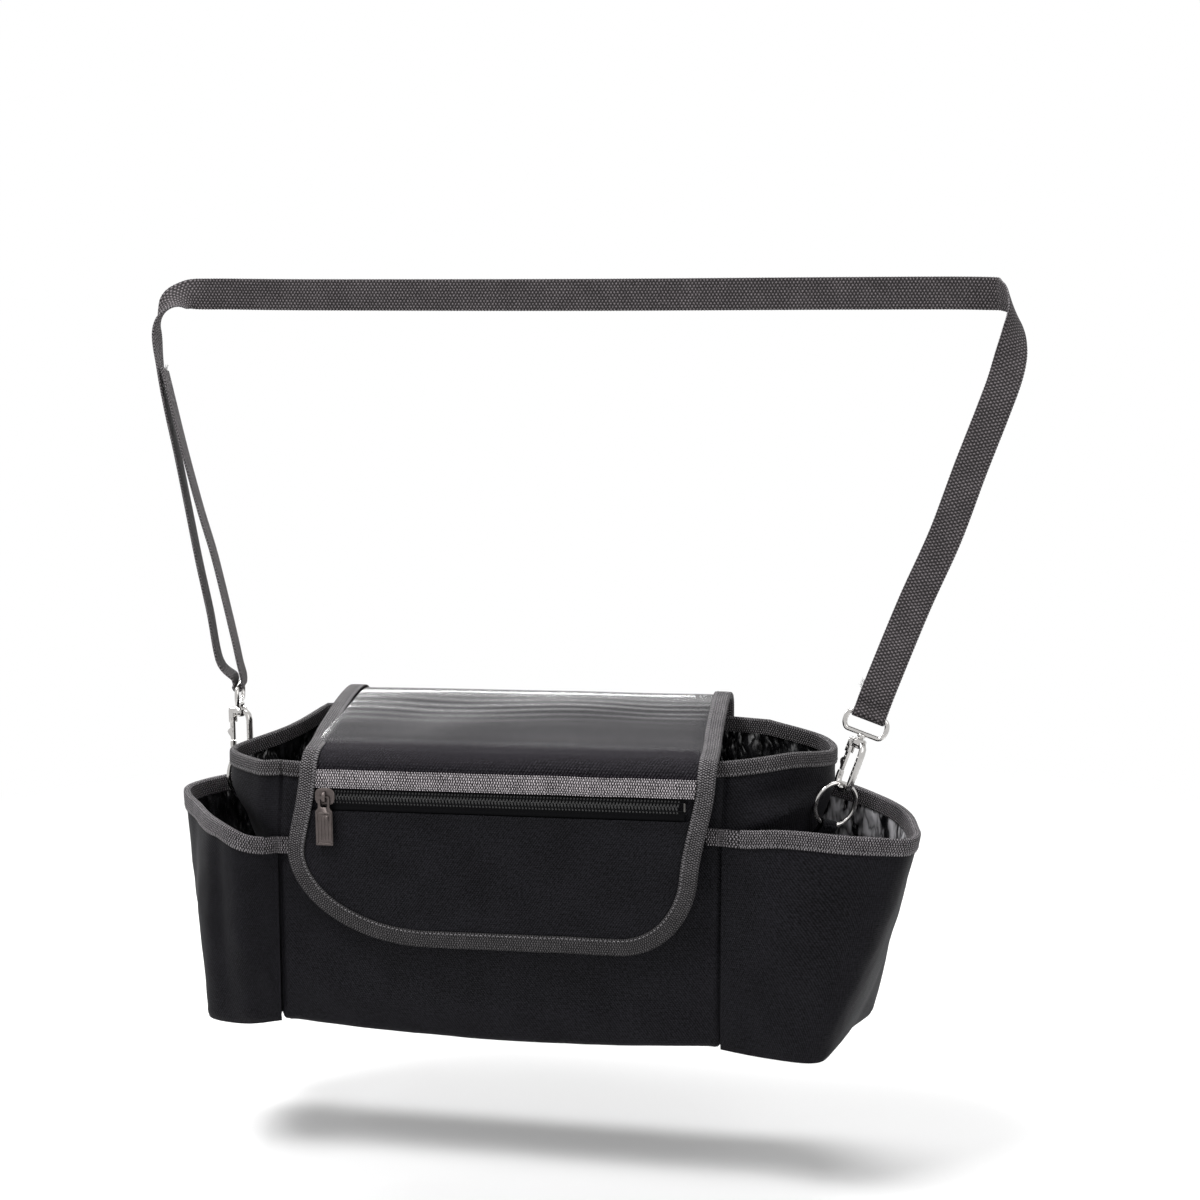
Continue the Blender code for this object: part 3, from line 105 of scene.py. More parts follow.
# Tapes, flap and zip, as in the part
TAPE = 0.0008
RIM_TAPE_HEIGHT = 0.0085
POCKET_TAPE_HEIGHT = 0.0098
FLAP_TAPE_WIDTH = 0.0100
TAIL_PAST_SEAM = 0.009
TAIL_UV = 0.022
FLAP_SHEAR = 0.0135
BACKING = 0.0010
FILM = 0.0005
FLAP_CLOTH = 0.0010
WINDOW_TAPE_WIDTH = 0.0100
WINDOW_TUCK = 0.0060
TAPE_TO_COIL = 0.0028
ZIP_HEIGHT = 0.1475
ZIP_LEFT = -0.1065
ZIP_RIGHT = 0.1145
COIL_HALF_WIDTH = 0.0020
COIL_SLOT = 0.0012
COIL_DEPTH = 0.0015
SLIDER_PLATE = 0.0008
PATCH = 0.0012

# What only the looks have
BASE_SAG = 0.0055
BOTTOM_ROLL = 0.0060
SEAM_PULL = 0.0016
SEAM_SPREAD = 0.0022
SEAM_LAP = 0.005


# Small helpers

def lerp(a, b, t):
    return a + (b - a) * t


def spread(a, b, count):
    """Evenly spaced values from a to b, one more than count."""
    return [lerp(a, b, i / count) for i in range(count + 1)]


def smoothstep(t):
    t = min(max(t, 0.0), 1.0)
    return t * t * (3.0 - 2.0 * t)


def curve_at(points, u):
    """Catmull-Rom value at u in 0..1 through tuples of any length."""
    last = len(points) - 1
    place = min(max(u, 0.0), 1.0) * last
    i = min(int(place), last - 1)
    t = place - i
    p1 = points[i]
    p2 = points[i + 1]
    p0 = points[i - 1] if i > 0 else tuple(2 * a - b for a, b in zip(p1, p2))
    p3 = points[i + 2] if i + 2 <= last else tuple(2 * b - a for a, b in zip(p1, p2))
    value = []
    for a, b, c, d in zip(p0, p1, p2, p3):
        bend = (2 * a - 5 * b + 4 * c - d) * t * t + (3 * b - a - 3 * c + d) * t * t * t
        value.append(0.5 * (2 * b + (c - a) * t + bend))
    return tuple(value)


def ripple(x, y, size, seed):
    """Smooth noise in -1..1 with features of a given size in metres."""
    return noise.noise(Vector((x / size, y / size, seed * 7.31)))


def fold(a, b, centre_a, centre_b, length, width, turn_deg):
    """One soft ridge of height 1, given by its middle, length, width and direction."""
    turn = math.radians(turn_deg)
    da = a - centre_a
    db = b - centre_b
    along = da * math.cos(turn) + db * math.sin(turn)
    across = -da * math.sin(turn) + db * math.cos(turn)
    return math.exp(-(along / length) ** 2 - (across / width) ** 2)


def folds_at(folds, a, b):
    return sum(depth * fold(a, b, *shape) for depth, *shape in folds)


# Materials

# Heights in metres over which the flap binding's painted shade goes from darkest to none.
PAINTED_SHADE_LOW = -0.375
PAINTED_SHADE_HIGH = -0.270
CREASE_STRETCH = (0.95, 0.95, 0.36)
DULL_FROM = 0.126
DULL_TO = 0.143


class Nodes:
    """Short way to build one material's node tree."""

    def __init__(self, name):
        self.material = bpy.data.materials.new(name)
        self.material.use_nodes = True
        self.tree = self.material.node_tree
        self.shader = self.tree.nodes["Principled BSDF"]

    def add(self, kind, **values):
        node = self.tree.nodes.new(kind)
        for key, value in values.items():
            setattr(node, key, value)
        return node

    def link(self, a, b):
        self.tree.links.new(a, b)

    def put(self, socket, value):
        if hasattr(value, "is_output"):
            self.link(value, socket)
        else:
            socket.default_value = value

    def math(self, operation, a, b=0.0, c=0.0, clamp=False):
        node = self.add("ShaderNodeMath", operation=operation, use_clamp=clamp)
        for socket, value in zip(node.inputs, (a, b, c)):
            self.put(socket, value)
        return node.outputs[0]

    def uv(self):
        node = self.add("ShaderNodeUVMap", uv_map="metres")
        parts = self.add("ShaderNodeSeparateXYZ")
        self.link(node.outputs["UV"], parts.inputs[0])
        return node.outputs["UV"], parts.outputs["X"], parts.outputs["Y"]

    def noise(self, vector, scale, detail=2.0, roughness=0.5):
        node = self.add("ShaderNodeTexNoise")
        self.link(vector, node.inputs["Vector"])
        node.inputs["Scale"].default_value = scale
        node.inputs["Detail"].default_value = detail
        node.inputs["Roughness"].default_value = roughness
        return node.outputs["Fac"]

    def wave(self, value, period, phase=0.0):
        """0..1 sine along a length socket, one cycle each period."""
        turned = self.math("MULTIPLY_ADD", value, 2 * math.pi / period, phase)
        return self.math("MULTIPLY_ADD", self.math("SINE", turned), 0.5, 0.5)

    def mix(self, factor, dark, light):
        node = self.add("ShaderNodeMix", data_type="RGBA")
        self.put(node.inputs["Factor"], factor)
        self.put(node.inputs["A"], dark)
        self.put(node.inputs["B"], light)
        return node.outputs["Result"]

    def bump(self, height, distance, strength=1.0, after=None):
        node = self.add("ShaderNodeBump")
        node.inputs["Strength"].default_value = strength
        node.inputs["Distance"].default_value = distance
        self.link(height, node.inputs["Height"])
        if after is not None:
            self.link(after, node.inputs["Normal"])
        return node.outputs["Normal"]

    def position(self):
        return self.add("ShaderNodeTexCoord").outputs["Object"]

    def stretched(self, vector, scale):
        node = self.add("ShaderNodeMapping")
        node.inputs["Rotation"].default_value = (0.5, 0.4, 0.0)
        node.inputs["Scale"].default_value = scale
        self.link(vector, node.inputs["Vector"])
        return node.outputs["Vector"]

    def height(self):
        parts = self.add("ShaderNodeSeparateXYZ")
        self.link(self.position(), parts.inputs[0])
        return parts.outputs["Z"]

    def ramp(self, value, start, stop, low, high):
        """Smooth step of a socket from low at start to high at stop."""
        node = self.add("ShaderNodeMapRange", interpolation_type="SMOOTHSTEP")
        for socket, number in zip(node.inputs, (value, start, stop, low, high)):
            self.put(socket, number)
        return node.outputs["Result"]

    def set(self, **values):
        for name, value in values.items():
            self.put(self.shader.inputs[name.replace("_", " ")], value)


def rgb(red, green, blue):
    return (red, green, blue, 1.0)


def twill_cloth(name, dark, light, period=0.00165):
    """Fine diagonal twill with uneven yarns and a little sheen."""
    n = Nodes(name)
    vector, u, v = n.uv()
    slant = n.math("ADD", u, n.math("MULTIPLY", v, 0.70))
    ribs = n.wave(slant, period)
    picks = n.wave(v, period * 0.80)
    yarn = n.noise(vector, 620.0, 2.0, 0.6)
    cloud = n.noise(vector, 38.0, 3.0, 0.55)
    weave = n.math("MULTIPLY", ribs, n.math("MULTIPLY_ADD", picks, 0.55, 0.45))
    tone = n.math("MULTIPLY_ADD", yarn, 1.7, n.math("MULTIPLY_ADD", weave, 0.75, -0.88))
    tone = n.math("MULTIPLY_ADD", cloud, 0.55, n.math("SUBTRACT", tone, 0.08), clamp=True)
    n.set(Base_Color=n.mix(tone, dark, light))
    n.set(Roughness=0.62, Specular_IOR_Level=0.07, Sheen_Weight=0.012, Sheen_Roughness=0.45)
    n.set(Normal=n.bump(n.math("MULTIPLY_ADD", yarn, 0.7, weave), 0.00030, 0.55))
    return n.material


def ribbed_tape(name, dark, light, period=0.00152, painted_shade=0.0):
    """Grosgrain: rows of ribs set off from each other, with uneven yarns; the last argument paints shade on
    it, darker lower down.
    """
    n = Nodes(name)
    vector, u, v = n.uv()
    wander = n.math("MULTIPLY_ADD", n.noise(vector, 260.0, 1.0, 0.5), 0.0014, u)
    rows = n.math("FLOOR", n.math("DIVIDE", v, 0.00140))
    shift = n.math("MULTIPLY", n.math("PINGPONG", rows, 1.0), period * 0.38)
    ribs = n.wave(n.math("ADD", wander, shift), period)
    beads = n.wave(v, 0.00140, -math.pi / 2)
    yarn = n.noise(vector, 900.0, 2.0, 0.6)
    cloud = n.noise(vector, 90.0, 2.0, 0.5)
    weave = n.math("MULTIPLY", ribs, n.math("MULTIPLY_ADD", beads, 0.55, 0.45))
    tone = n.math("MULTIPLY_ADD", yarn, 1.2, n.math("MULTIPLY_ADD", weave, 1.15, -0.92))
    tone = n.math("MULTIPLY_ADD", cloud, 0.40, n.math("SUBTRACT", tone, 0.12), clamp=True)
    # Painted shade: the tone is darkened towards the bottom of the bag, by height, standing for the shade
    # there.
    if painted_shade:
        painted_shading = n.ramp(n.height(), PAINTED_SHADE_LOW, PAINTED_SHADE_HIGH, 1.0 - painted_shade, 1.0)
        tone = n.math("MULTIPLY", tone, painted_shading)
    n.set(Base_Color=n.mix(tone, dark, light))
    n.set(Roughness=0.66, Specular_IOR_Level=0.16, Sheen_Weight=0.03, Sheen_Roughness=0.4)
    n.set(Normal=n.bump(n.math("MULTIPLY_ADD", yarn, 0.3, weave), 0.00075, 0.9))
    return n.material


def webbing_cloth(name, dark, light):
    """Plain webbing: coarse picks set off by half a step from row to row."""
    n = Nodes(name)
    vector, u, v = n.uv()
    rows = n.math("FLOOR", n.math("DIVIDE", v, 0.00180))
    shift = n.math("MULTIPLY", n.math("PINGPONG", rows, 1.0), 0.00110)
    wander = n.math("MULTIPLY_ADD", n.noise(vector, 220.0, 1.0, 0.5), 0.0012, u)
    picks = n.wave(n.math("ADD", wander, shift), 0.00220)
    columns = n.wave(v, 0.00180, -math.pi / 2)
    yarn = n.noise(vector, 900.0, 2.0, 0.65)
    cloud = n.noise(vector, 70.0, 2.0, 0.5)
    weave = n.math("MULTIPLY", picks, n.math("MULTIPLY_ADD", columns, 0.6, 0.4))
    tone = n.math("MULTIPLY_ADD", yarn, 1.1, n.math("MULTIPLY_ADD", weave, 0.95, -0.82))
    tone = n.math("MULTIPLY_ADD", cloud, 0.35, n.math("SUBTRACT", tone, 0.10), clamp=True)
    n.set(Base_Color=n.mix(tone, dark, light))
    n.set(Roughness=0.66, Specular_IOR_Level=0.16, Sheen_Weight=0.03, Sheen_Roughness=0.4)
    n.set(Normal=n.bump(n.math("MULTIPLY_ADD", yarn, 0.3, weave), 0.00080, 0.9))
    return n.material


def crinkled_lining(name, dark, light):
    """Thin glossy lining: long crushed creases that catch small lights, and painted glints, a lighter base
    colour where the creases stand out.
    """
    n = Nodes(name)
    place = n.stretched(n.position(), CREASE_STRETCH)
    broad = n.noise(place, 52.0, 2.0, 0.45)
    crumple = n.noise(place, 150.0, 2.0, 0.45)
    creases = n.math("ABSOLUTE", n.math("SUBTRACT", broad, 0.5))
    small = n.math("ABSOLUTE", n.math("SUBTRACT", crumple, 0.5))
    height = n.math("MULTIPLY_ADD", small, 0.45, creases)
    # Painted glints: the base colour is lighter on the high parts of the creases, standing for light caught
    # there.
    painted_glints = n.ramp(n.math("ADD", small, creases), 0.09, 0.26, 0.0, 1.0)
    n.set(Base_Color=n.mix(painted_glints, dark, light))
    n.set(Roughness=0.21, Specular_IOR_Level=0.9, Normal=n.bump(height, 0.0110, 1.0))
    return n.material


def clear_film(name):
    """Clear soft film over twill: faint haze, long reflections, duller where the tape holds it."""
    n = Nodes(name)
    vector, u, v = n.uv()
    slant = n.math("ADD", u, n.math("MULTIPLY", v, 0.70))
    ribs = n.wave(slant, 0.00200)
    picks = n.wave(v, 0.00150)
    yarn = n.noise(vector, 520.0, 2.0, 0.6)
    weave = n.math("MULTIPLY", ribs, n.math("MULTIPLY_ADD", picks, 0.5, 0.5))
    tone = n.math("MULTIPLY_ADD", yarn, 1.0, n.math("MULTIPLY_ADD", weave, 0.9, -0.70), clamp=True)
    n.set(Base_Color=n.mix(tone, rgb(0.006, 0.005, 0.007), rgb(0.078, 0.074, 0.085)), IOR=1.60, Alpha=0.70)
    n.set(Roughness=n.ramp(v, DULL_FROM, DULL_TO, 0.15, 0.60))
    n.set(Specular_IOR_Level=n.ramp(v, DULL_FROM, DULL_TO, 0.20, 0.04))
    waves = n.noise(n.position(), 22.0, 2.0, 0.5)
    n.set(Normal=n.bump(waves, 0.0010, 0.12))
    return n.material


def metal(name, colour, roughness, wear, bump_size):
    n = Nodes(name)
    place = n.position()
    grain = n.noise(place, 260.0, 4.0, 0.6)
    broad = n.noise(place, 60.0, 2.0, 0.5)
    darker = rgb(*[c * wear for c in colour])
    n.set(Base_Color=n.mix(grain, darker, rgb(*colour)), Metallic=1.0)
    n.set(Roughness=n.math("MULTIPLY_ADD", broad, roughness * 0.8, roughness * 0.6))
    n.set(Normal=n.bump(grain, bump_size, 0.5))
    return n.material


def nylon(name, colour, roughness, shine):
    n = Nodes(name)
    place = n.position()
    grain = n.noise(place, 700.0, 3.0, 0.6)
    lighter = rgb(*[c * 2.4 for c in colour])
    n.set(Base_Color=n.mix(grain, rgb(*colour), lighter), Roughness=roughness, Specular_IOR_Level=shine)
    n.set(Normal=n.bump(grain, 0.00012, 0.6))
    return n.material


def thread(name, dark, light):
    n = Nodes(name)
    place = n.position()
    n.set(Base_Color=n.mix(n.noise(place, 600.0, 2.0), dark, light), Roughness=0.62, Sheen_Weight=0.15)
    return n.material


MATERIALS = {
    "cloth": twill_cloth("black_polyester", rgb(0.0006, 0.0005, 0.0009), rgb(0.0166, 0.0161, 0.0198)),
    "tape": ribbed_tape("grey_binding", rgb(0.0060, 0.0055, 0.0060), rgb(0.270, 0.254, 0.265)),
    # The window, pocket-rim and flap bindings are lighter copies of the one grey binding: painted light,
    # where those parts show brighter.
    "window_tape": ribbed_tape("window_binding_painted_light", rgb(0.0160, 0.0148, 0.0157), rgb(0.920, 0.850, 0.894)),
    "rim_tape_painted_light": ribbed_tape("rim_binding", rgb(0.0060, 0.0055, 0.0060), rgb(0.400, 0.373, 0.394)),
    # The flap copy is painted lighter and also has painted shade, darker lower down.
    "flap_tape_painted_light_shade": ribbed_tape("flap_binding", rgb(0.0070, 0.0065, 0.0070), rgb(0.350, 0.331, 0.345),
                             painted_shade=0.64),
    "webbing": webbing_cloth("grey_webbing", rgb(0.0240, 0.0216, 0.0224), rgb(0.315, 0.283, 0.296)),
    "lining": crinkled_lining("black_lining", rgb(0.0020, 0.0020, 0.0024), rgb(0.020, 0.020, 0.022)),
    # Right pocket lining: a much lighter copy, whose painted glints on its creases stand for caught light.
    "glossy_lining_painted_glints": crinkled_lining("glossy_lining_painted_glints", rgb(0.005, 0.005, 0.006), rgb(0.66, 0.65, 0.68)),
    "film": clear_film("clear_film"),
    "board": nylon("grey_board", (0.05, 0.05, 0.05), 0.6, 0.3),
    "zip": nylon("black_nylon", (0.0016, 0.0016, 0.0019), 0.50, 0.05),
    "tooth": nylon("zip_teeth", (0.0080, 0.0080, 0.0084), 0.28, 0.40),
    "nickel": metal("bright_nickel", (0.60, 0.585, 0.57), 0.16, 0.66, 0.00004),
    "pewter": metal("dark_pewter", (0.138, 0.117, 0.112), 0.42, 0.50, 0.00010),
    "stop": metal("dull_stop", (0.12, 0.115, 0.11), 0.45, 0.50, 0.00008),
    "thread": thread("binding_thread", rgb(0.060, 0.056, 0.060), rgb(0.26, 0.25, 0.26)),
}


# Meshes

def make_mesh(name, verts, faces, uvs, material, place=HANG, smooth_angle=50):
    """Mesh object with a UV in metres for each vertex."""
    mesh = bpy.data.meshes.new(name)
    mesh.from_pydata([tuple(Vector(v) + place) for v in verts], [], faces)
    layer = mesh.uv_layers.new(name="metres")
    for loop in mesh.loops:
        layer.data[loop.index].uv = uvs[loop.vertex_index]
    work = bmesh.new()
    work.from_mesh(mesh)
    bmesh.ops.recalc_face_normals(work, faces=work.faces)
    if work.calc_volume(signed=True) < 0:
        bmesh.ops.reverse_faces(work, faces=work.faces)
    return show(mesh, work, material, smooth_angle)


def show(mesh, work, material, smooth_angle=50):
    """Finish a mesh from its work copy and put it in the scene."""
    work.to_mesh(mesh)
    work.free()
    if not mesh.uv_layers:
        mesh.uv_layers.new(name="metres")
    mesh.materials.append(MATERIALS[material])
    mesh.shade_smooth()
    mesh.set_sharp_from_angle(angle=math.radians(smooth_angle))
    return add_object(mesh.name, mesh)


def add_object(name, data):
    item = bpy.data.objects.new(name, data)
    bpy.context.scene.collection.objects.link(item)
    return item


def dress(item, body, *replaced):
    """Say which body a piece rides on and hide the nodes it stands for."""
    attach(item, body)
    if replaced:
        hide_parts(*replaced)


def shell(name, outer, inner, uvs, material):
    """Closed sheet between two matching grids of points."""
    rows = len(outer)
    columns = len(outer[0])
    count = rows * columns
    verts = [p for row in outer for p in row] + [p for row in inner for p in row]
    flat = [uv for row in uvs for uv in row]
    faces = []
    for r in range(rows - 1):
        for c in range(columns - 1):
            a = r * columns + c
            quad = (a, a + 1, a + columns + 1, a + columns)
            faces.append(quad)
            faces.append(tuple(i + count for i in reversed(quad)))
    border = list(range(columns))
    border += [r * columns + columns - 1 for r in range(1, rows)]
    border += [(rows - 1) * columns + c for c in range(columns - 2, -1, -1)]
    border += [r * columns for r in range(rows - 2, 0, -1)]
    for a, b in zip(border, border[1:] + border[:1]):
        faces.append((b, a, a + count, b + count))
    return make_mesh(name, verts, faces, flat + flat, material)


def sheet(name, rows, columns, spot, material):
    """Closed sheet; spot(row, column) gives its outer point, its inner point and its UV."""
    grid = [[spot(r, c) for c in columns] for r in rows]
    outer, inner, uvs = ([[place[k] for place in row] for row in grid] for k in range(3))
    return shell(name, outer, inner, uvs, material)


def prism(name, outline, half, matrix, material, smooth_angle=50):
    """Outline of (x, z) pairs made solid by half its thickness to each side along y."""
    count = len(outline)
    verts = [matrix @ Vector((x, y, z)) for y in (-half, half) for x, z in outline]
    faces = [tuple(range(count)), tuple(reversed(range(count, 2 * count)))]
    for k in range(count):
        n = (k + 1) % count
        faces.append((k, k + count, n + count, n))
    return bare_mesh(name, verts, faces, material, smooth_angle=smooth_angle)


def bare_mesh(name, verts, faces, material, place=HANG, smooth_angle=50):
    return make_mesh(name, verts, faces, [(0.0, 0.0)] * len(verts), material, place, smooth_angle)


def add_rings(verts, faces, rings):
    """Closed solid through rings of points that all have the same count."""
    sides = len(rings[0])
    start = len(verts)
    for ring in rings:
        verts += ring
    for r in range(len(rings) - 1):
        a = start + r * sides
        for i in range(sides):
            n = (i + 1) % sides
            faces.append((a + i, a + n, a + sides + n, a + sides + i))
    faces.append(tuple(start + i for i in reversed(range(sides))))
    faces.append(tuple(len(verts) - sides + i for i in range(sides)))


def ellipse(wide, high, sides, power=1.0):
    """Closed outline; a power below 1 squares its corners."""
    outline = []
    for i in range(sides):
        turn = 2 * math.pi * i / sides
        outline.append((wide * rounded(math.cos(turn), power), high * rounded(math.sin(turn), power)))
    return outline


def rounded(value, power):
    return math.copysign(abs(value) ** power, value)


def tube(name, frames, section, material, closed=False, place=HANG, smooth_angle=50):
    """Section, a list of (side, up), carried along frames of (point, side, up, scale)."""
    size = len(section)
    run = 0.0
    verts = []
    uvs = []
    around = [0.0]
    for a, b in zip(section, section[1:]):
        around.append(around[-1] + math.hypot(b[0] - a[0], b[1] - a[1]))
    last_point = None
    for point, side, up, scale in frames:
        if last_point is not None:
            run += (point - last_point).length
        last_point = point
        for (a, b), w in zip(section, around):
            verts.append(point + side * (a * scale) + up * (b * scale))
            uvs.append((run, w))
    rows = len(frames)
    faces = []
    for r in range(rows if closed else rows - 1):
        base = r * size
        ahead = ((r + 1) % rows) * size
        for c in range(size):
            n = (c + 1) % size
            faces.append((base + c, base + n, ahead + n, ahead + c))
    if not closed:
        faces.append(tuple(reversed(range(size))))
        faces.append(tuple((rows - 1) * size + c for c in range(size)))
    return make_mesh(name, verts, faces, uvs, material, place, smooth_angle)


def join(name, items):
    """Join separate closed meshes into one object."""
    bpy.ops.object.select_all(action="DESELECT")
    for item in items:
        item.select_set(True)
    bpy.context.view_layer.objects.active = items[0]
    bpy.ops.object.join()
    items[0].name = name
    return items[0]


STITCH_SIDES = 6
STITCH_RINGS = ((-1.0, 0.35), (-0.6, 0.95), (0.0, 1.0), (0.6, 0.95), (1.0, 0.35))


def stitches(name, places, length, thick):
    """Row of thread stitches. Each place is (middle, direction, outward normal)."""
    verts = []
    faces = []
    for middle, along, normal in places:
        side = along.cross(normal).normalized()
        rings = []
        for reach, width in STITCH_RINGS:
            dip = normal * (thick * 0.55 * abs(reach) ** 2)
            centre = middle + along * (length / 2 * reach) - dip
            section = ellipse(thick / 2 * width, 0.8 * thick / 2 * width, STITCH_SIDES)
            rings.append([centre + side * a + normal * b for a, b in section])
        add_rings(verts, faces, rings)
    return bare_mesh(name, verts, faces, "thread")


def along_path(points, normals, spacing, skip=0.0):
    """Evenly spaced (middle, direction, normal) along a line of points."""
    places = []
    carried = spacing / 2 - skip
    for i in range(len(points) - 1):
        step = points[i + 1] - points[i]
        size = step.length
        if size < 1e-9:
            continue
        while carried < size:
            t = carried / size
            normal = normals[i].lerp(normals[i + 1], t).normalized()
            places.append((points[i].lerp(points[i + 1], t), step / size, normal))
            carried += spacing
        carried -= size
    return places


# Main compartment

def side_control(side):
    return [
        (0.000, 0.000, 0.000, 0.000, SEAM_RIM[side]),
        (0.005, 0.016, SHOULDER_OUT[side], SHOULDER_DEPTH[side], SHOULDER_RIM[side]),
        (0.008, 0.052, TIP_OUT[side], TIP_DEPTH[side], TIP_RIM[side]),
        (0.008, 0.094, HEEL_OUT[side], HEEL_DEPTH[side], HEEL_RIM[side]),
        (0.002, BODY_DEPTH - 0.001, BACK_SEAM_OUT[side], BODY_DEPTH, BACK_SEAM_RIM[side]),
    ]


def lean_at(t):
    return smoothstep((t - LEAN_START) / (1.0 - LEAN_START))


def side_wall_point(side, u, t):
    bx, by, rx, ry, rz = curve_at(side_control(side), u)
    flare = smoothstep((t - BASE_FLARE_START) / (RIM_START - BASE_FLARE_START))
    sign = -1.0 if side == "left" else 1.0
    y = lerp(by, ry, flare) + SEAM_LEAN[side] * lean_at(t) * max(0.0, 1.0 - 2.0 * u) ** 2
    return Vector((sign * (PANEL_HALF + lerp(bx, rx, flare)), y, t * rz))


def front_rim_height(u):
    return curve_at([(SEAM_RIM["left"],), (FRONT_RIM,), (SEAM_RIM["right"],)], u)[0]


def front_wall_point(u, t):
    x = lerp(-PANEL_HALF, PANEL_HALF, u)
    belly = FRONT_BELLY * math.sin(math.pi * u) * math.sin(math.pi * min(t / RIM_START, 1.0)) ** 2
    lean = curve_at([(SEAM_LEAN["left"],), (FRONT_LEAN,), (SEAM_LEAN["right"],)], u)[0]
    return Vector((x, lean * lean_at(t) - belly, t * front_rim_height(u)))


def back_wall_point(u, t):
    start = side_wall_point("right", 1.0, t)
    end = side_wall_point("left", 1.0, t)
    height = curve_at([(start.z,), (BACK_RIM * t,), (end.z,)], u)[0]
    return Vector((lerp(start.x, end.x, u), lerp(start.y, end.y, u), height))


PANELS = {"front_panel": (0, 10), "side_panel_right": (10, 20),
          "back_panel": (20, 30), "side_panel_left": (30, 40)}
LOOP_COUNT = 40
PANEL_WIDTHS = (2 * PANEL_HALF, 0.145, 2 * PANEL_HALF, 0.135)
WALL_UV = 0.17
POCKET_UV = 0.13
LOOP_LENGTH = 0.87
LINING_SLACK = 0.0022
POCKET_SLACK = 0.0030
BASE_INSET = BOTTOM_ROLL * 0.8


def body_point(index, t):
    index = index % LOOP_COUNT
    if index < 10:
        return front_wall_point(index / 10, t)
    if index < 20:
        return side_wall_point("right", (index - 10) / 10, t)
    if index < 30:
        return back_wall_point((index - 20) / 10, t)
    return side_wall_point("left", 1.0 - (index - 30) / 10, t)


def body_normal(index, t):
    here = body_point(index, t)
    before = body_point(index - 0.5, t)
    after = body_point(index + 0.5, t)
    along = (here - before).normalized() + (after - here).normalized()
    along.z = 0.0
    along.normalize()
    return Vector((along.y, -along.x, 0.0))


# Soft ridges of each panel: (height, across, up, length, width, direction in degrees), in metres
PANEL_FOLDS = (
    [(-0.0016, 0.012, 0.060, 0.060, 0.008, 88), (0.0014, 0.030, 0.035, 0.035, 0.010, 65),
     (0.0018, 0.090, 0.028, 0.060, 0.014, 8), (-0.0012, 0.160, 0.030, 0.070, 0.012, -6),
     (0.0016, 0.225, 0.040, 0.045, 0.012, 70), (-0.0014, 0.262, 0.060, 0.055, 0.007, 92)],
    [(0.0052, 0.036, 0.140, 0.030, 0.0085, 16), (-0.0036, 0.040, 0.152, 0.040, 0.006, 8),
     (-0.0030, 0.018, 0.124, 0.030, 0.008, 20), (0.0030, 0.070, 0.118, 0.030, 0.009, 35),
     (-0.0024, 0.060, 0.100, 0.035, 0.010, 20)],
    [(0.0020, 0.070, 0.090, 0.080, 0.020, 70), (-0.0020, 0.200, 0.100, 0.080, 0.020, 105)],
    [(0.0022, 0.100, 0.130, 0.030, 0.008, 160), (-0.0022, 0.085, 0.115, 0.035, 0.008, 150)],
)


def seam_distance(index):
    """Distance in metres from the nearest corner seam."""
    place = index % 10
    width = PANEL_WIDTHS[int(index % LOOP_COUNT) // 10]
    return min(place, 10 - place) / 10 * width


def soft_body(index, t, depth=0.0):
    """Outer face of the main compartment with its folds, roll at the base and sag."""
    point = body_point(index, t)
    normal = body_normal(index, t)
    panel = int(index % LOOP_COUNT) // 10
    across = (index % 10) / 10 * PANEL_WIDTHS[panel]
    up = point.z
    seam = seam_distance(index)
    calm = smoothstep(seam / 0.012) * smoothstep((1.0 - t) / 0.10)
    push = folds_at(PANEL_FOLDS[panel], across, up) * calm
    push += 0.0011 * ripple(across + panel * 0.5, up, 0.050, 1) * calm
    push += 0.0004 * ripple(across + panel * 0.5, up, 0.014, 2) * calm
    ends = smoothstep(t / 0.10) * smoothstep((1.0 - t) / 0.04)
    push -= SEAM_PULL * math.exp(-(seam / SEAM_SPREAD) ** 2) * ends
    if up < BOTTOM_ROLL:
        rise = BOTTOM_ROLL - up
        push -= BOTTOM_ROLL - math.sqrt(max(0.0, BOTTOM_ROLL ** 2 - rise ** 2))
    point = point + normal * (push - depth)
    point.z += 0.0014 * ripple(point.x, point.y, 0.060, 3) * smoothstep((t - 0.6) / 0.4)
    point.z -= base_sag(point.x) * (1.0 - t) ** 2
    return point


def base_sag(x):
    return BASE_SAG * max(0.0, math.cos(math.pi * x / (2 * (PANEL_HALF + 0.004))))


def heights(count):
    """Rows from base to rim, closer together in the roll at the base."""
    rows = [0.0, 0.004, 0.010, 0.018, 0.028, 0.042]
    rows += [lerp(0.042, 1.0, i / count) for i in range(1, count + 1)]
    return rows


def panel_columns(start, stop, count):
    """Columns across a panel, closer together beside its seams."""
    near = [0.0, 0.05, 0.11, 0.19, 0.30]
    middle = [lerp(start + 0.45, stop - 0.45, i / count) for i in range(count + 1)]
    return [start + n for n in near] + middle + [stop - n for n in reversed(near)]


def build_walls():
    for name, (start, stop) in PANELS.items():
        width = PANEL_WIDTHS[start // 10]

        def spot(t, i):
            return soft_body(i, t), soft_body(i, t, FABRIC), ((i - start) / 10 * width, t * WALL_UV)

        columns = panel_columns(start + 0.006, stop - 0.006, 46)
        dress(sheet(name + "_cloth", heights(34), columns, spot, "cloth"), BAG, name)


def ring_of_columns(count):
    return [LOOP_COUNT * i / count for i in range(count)]


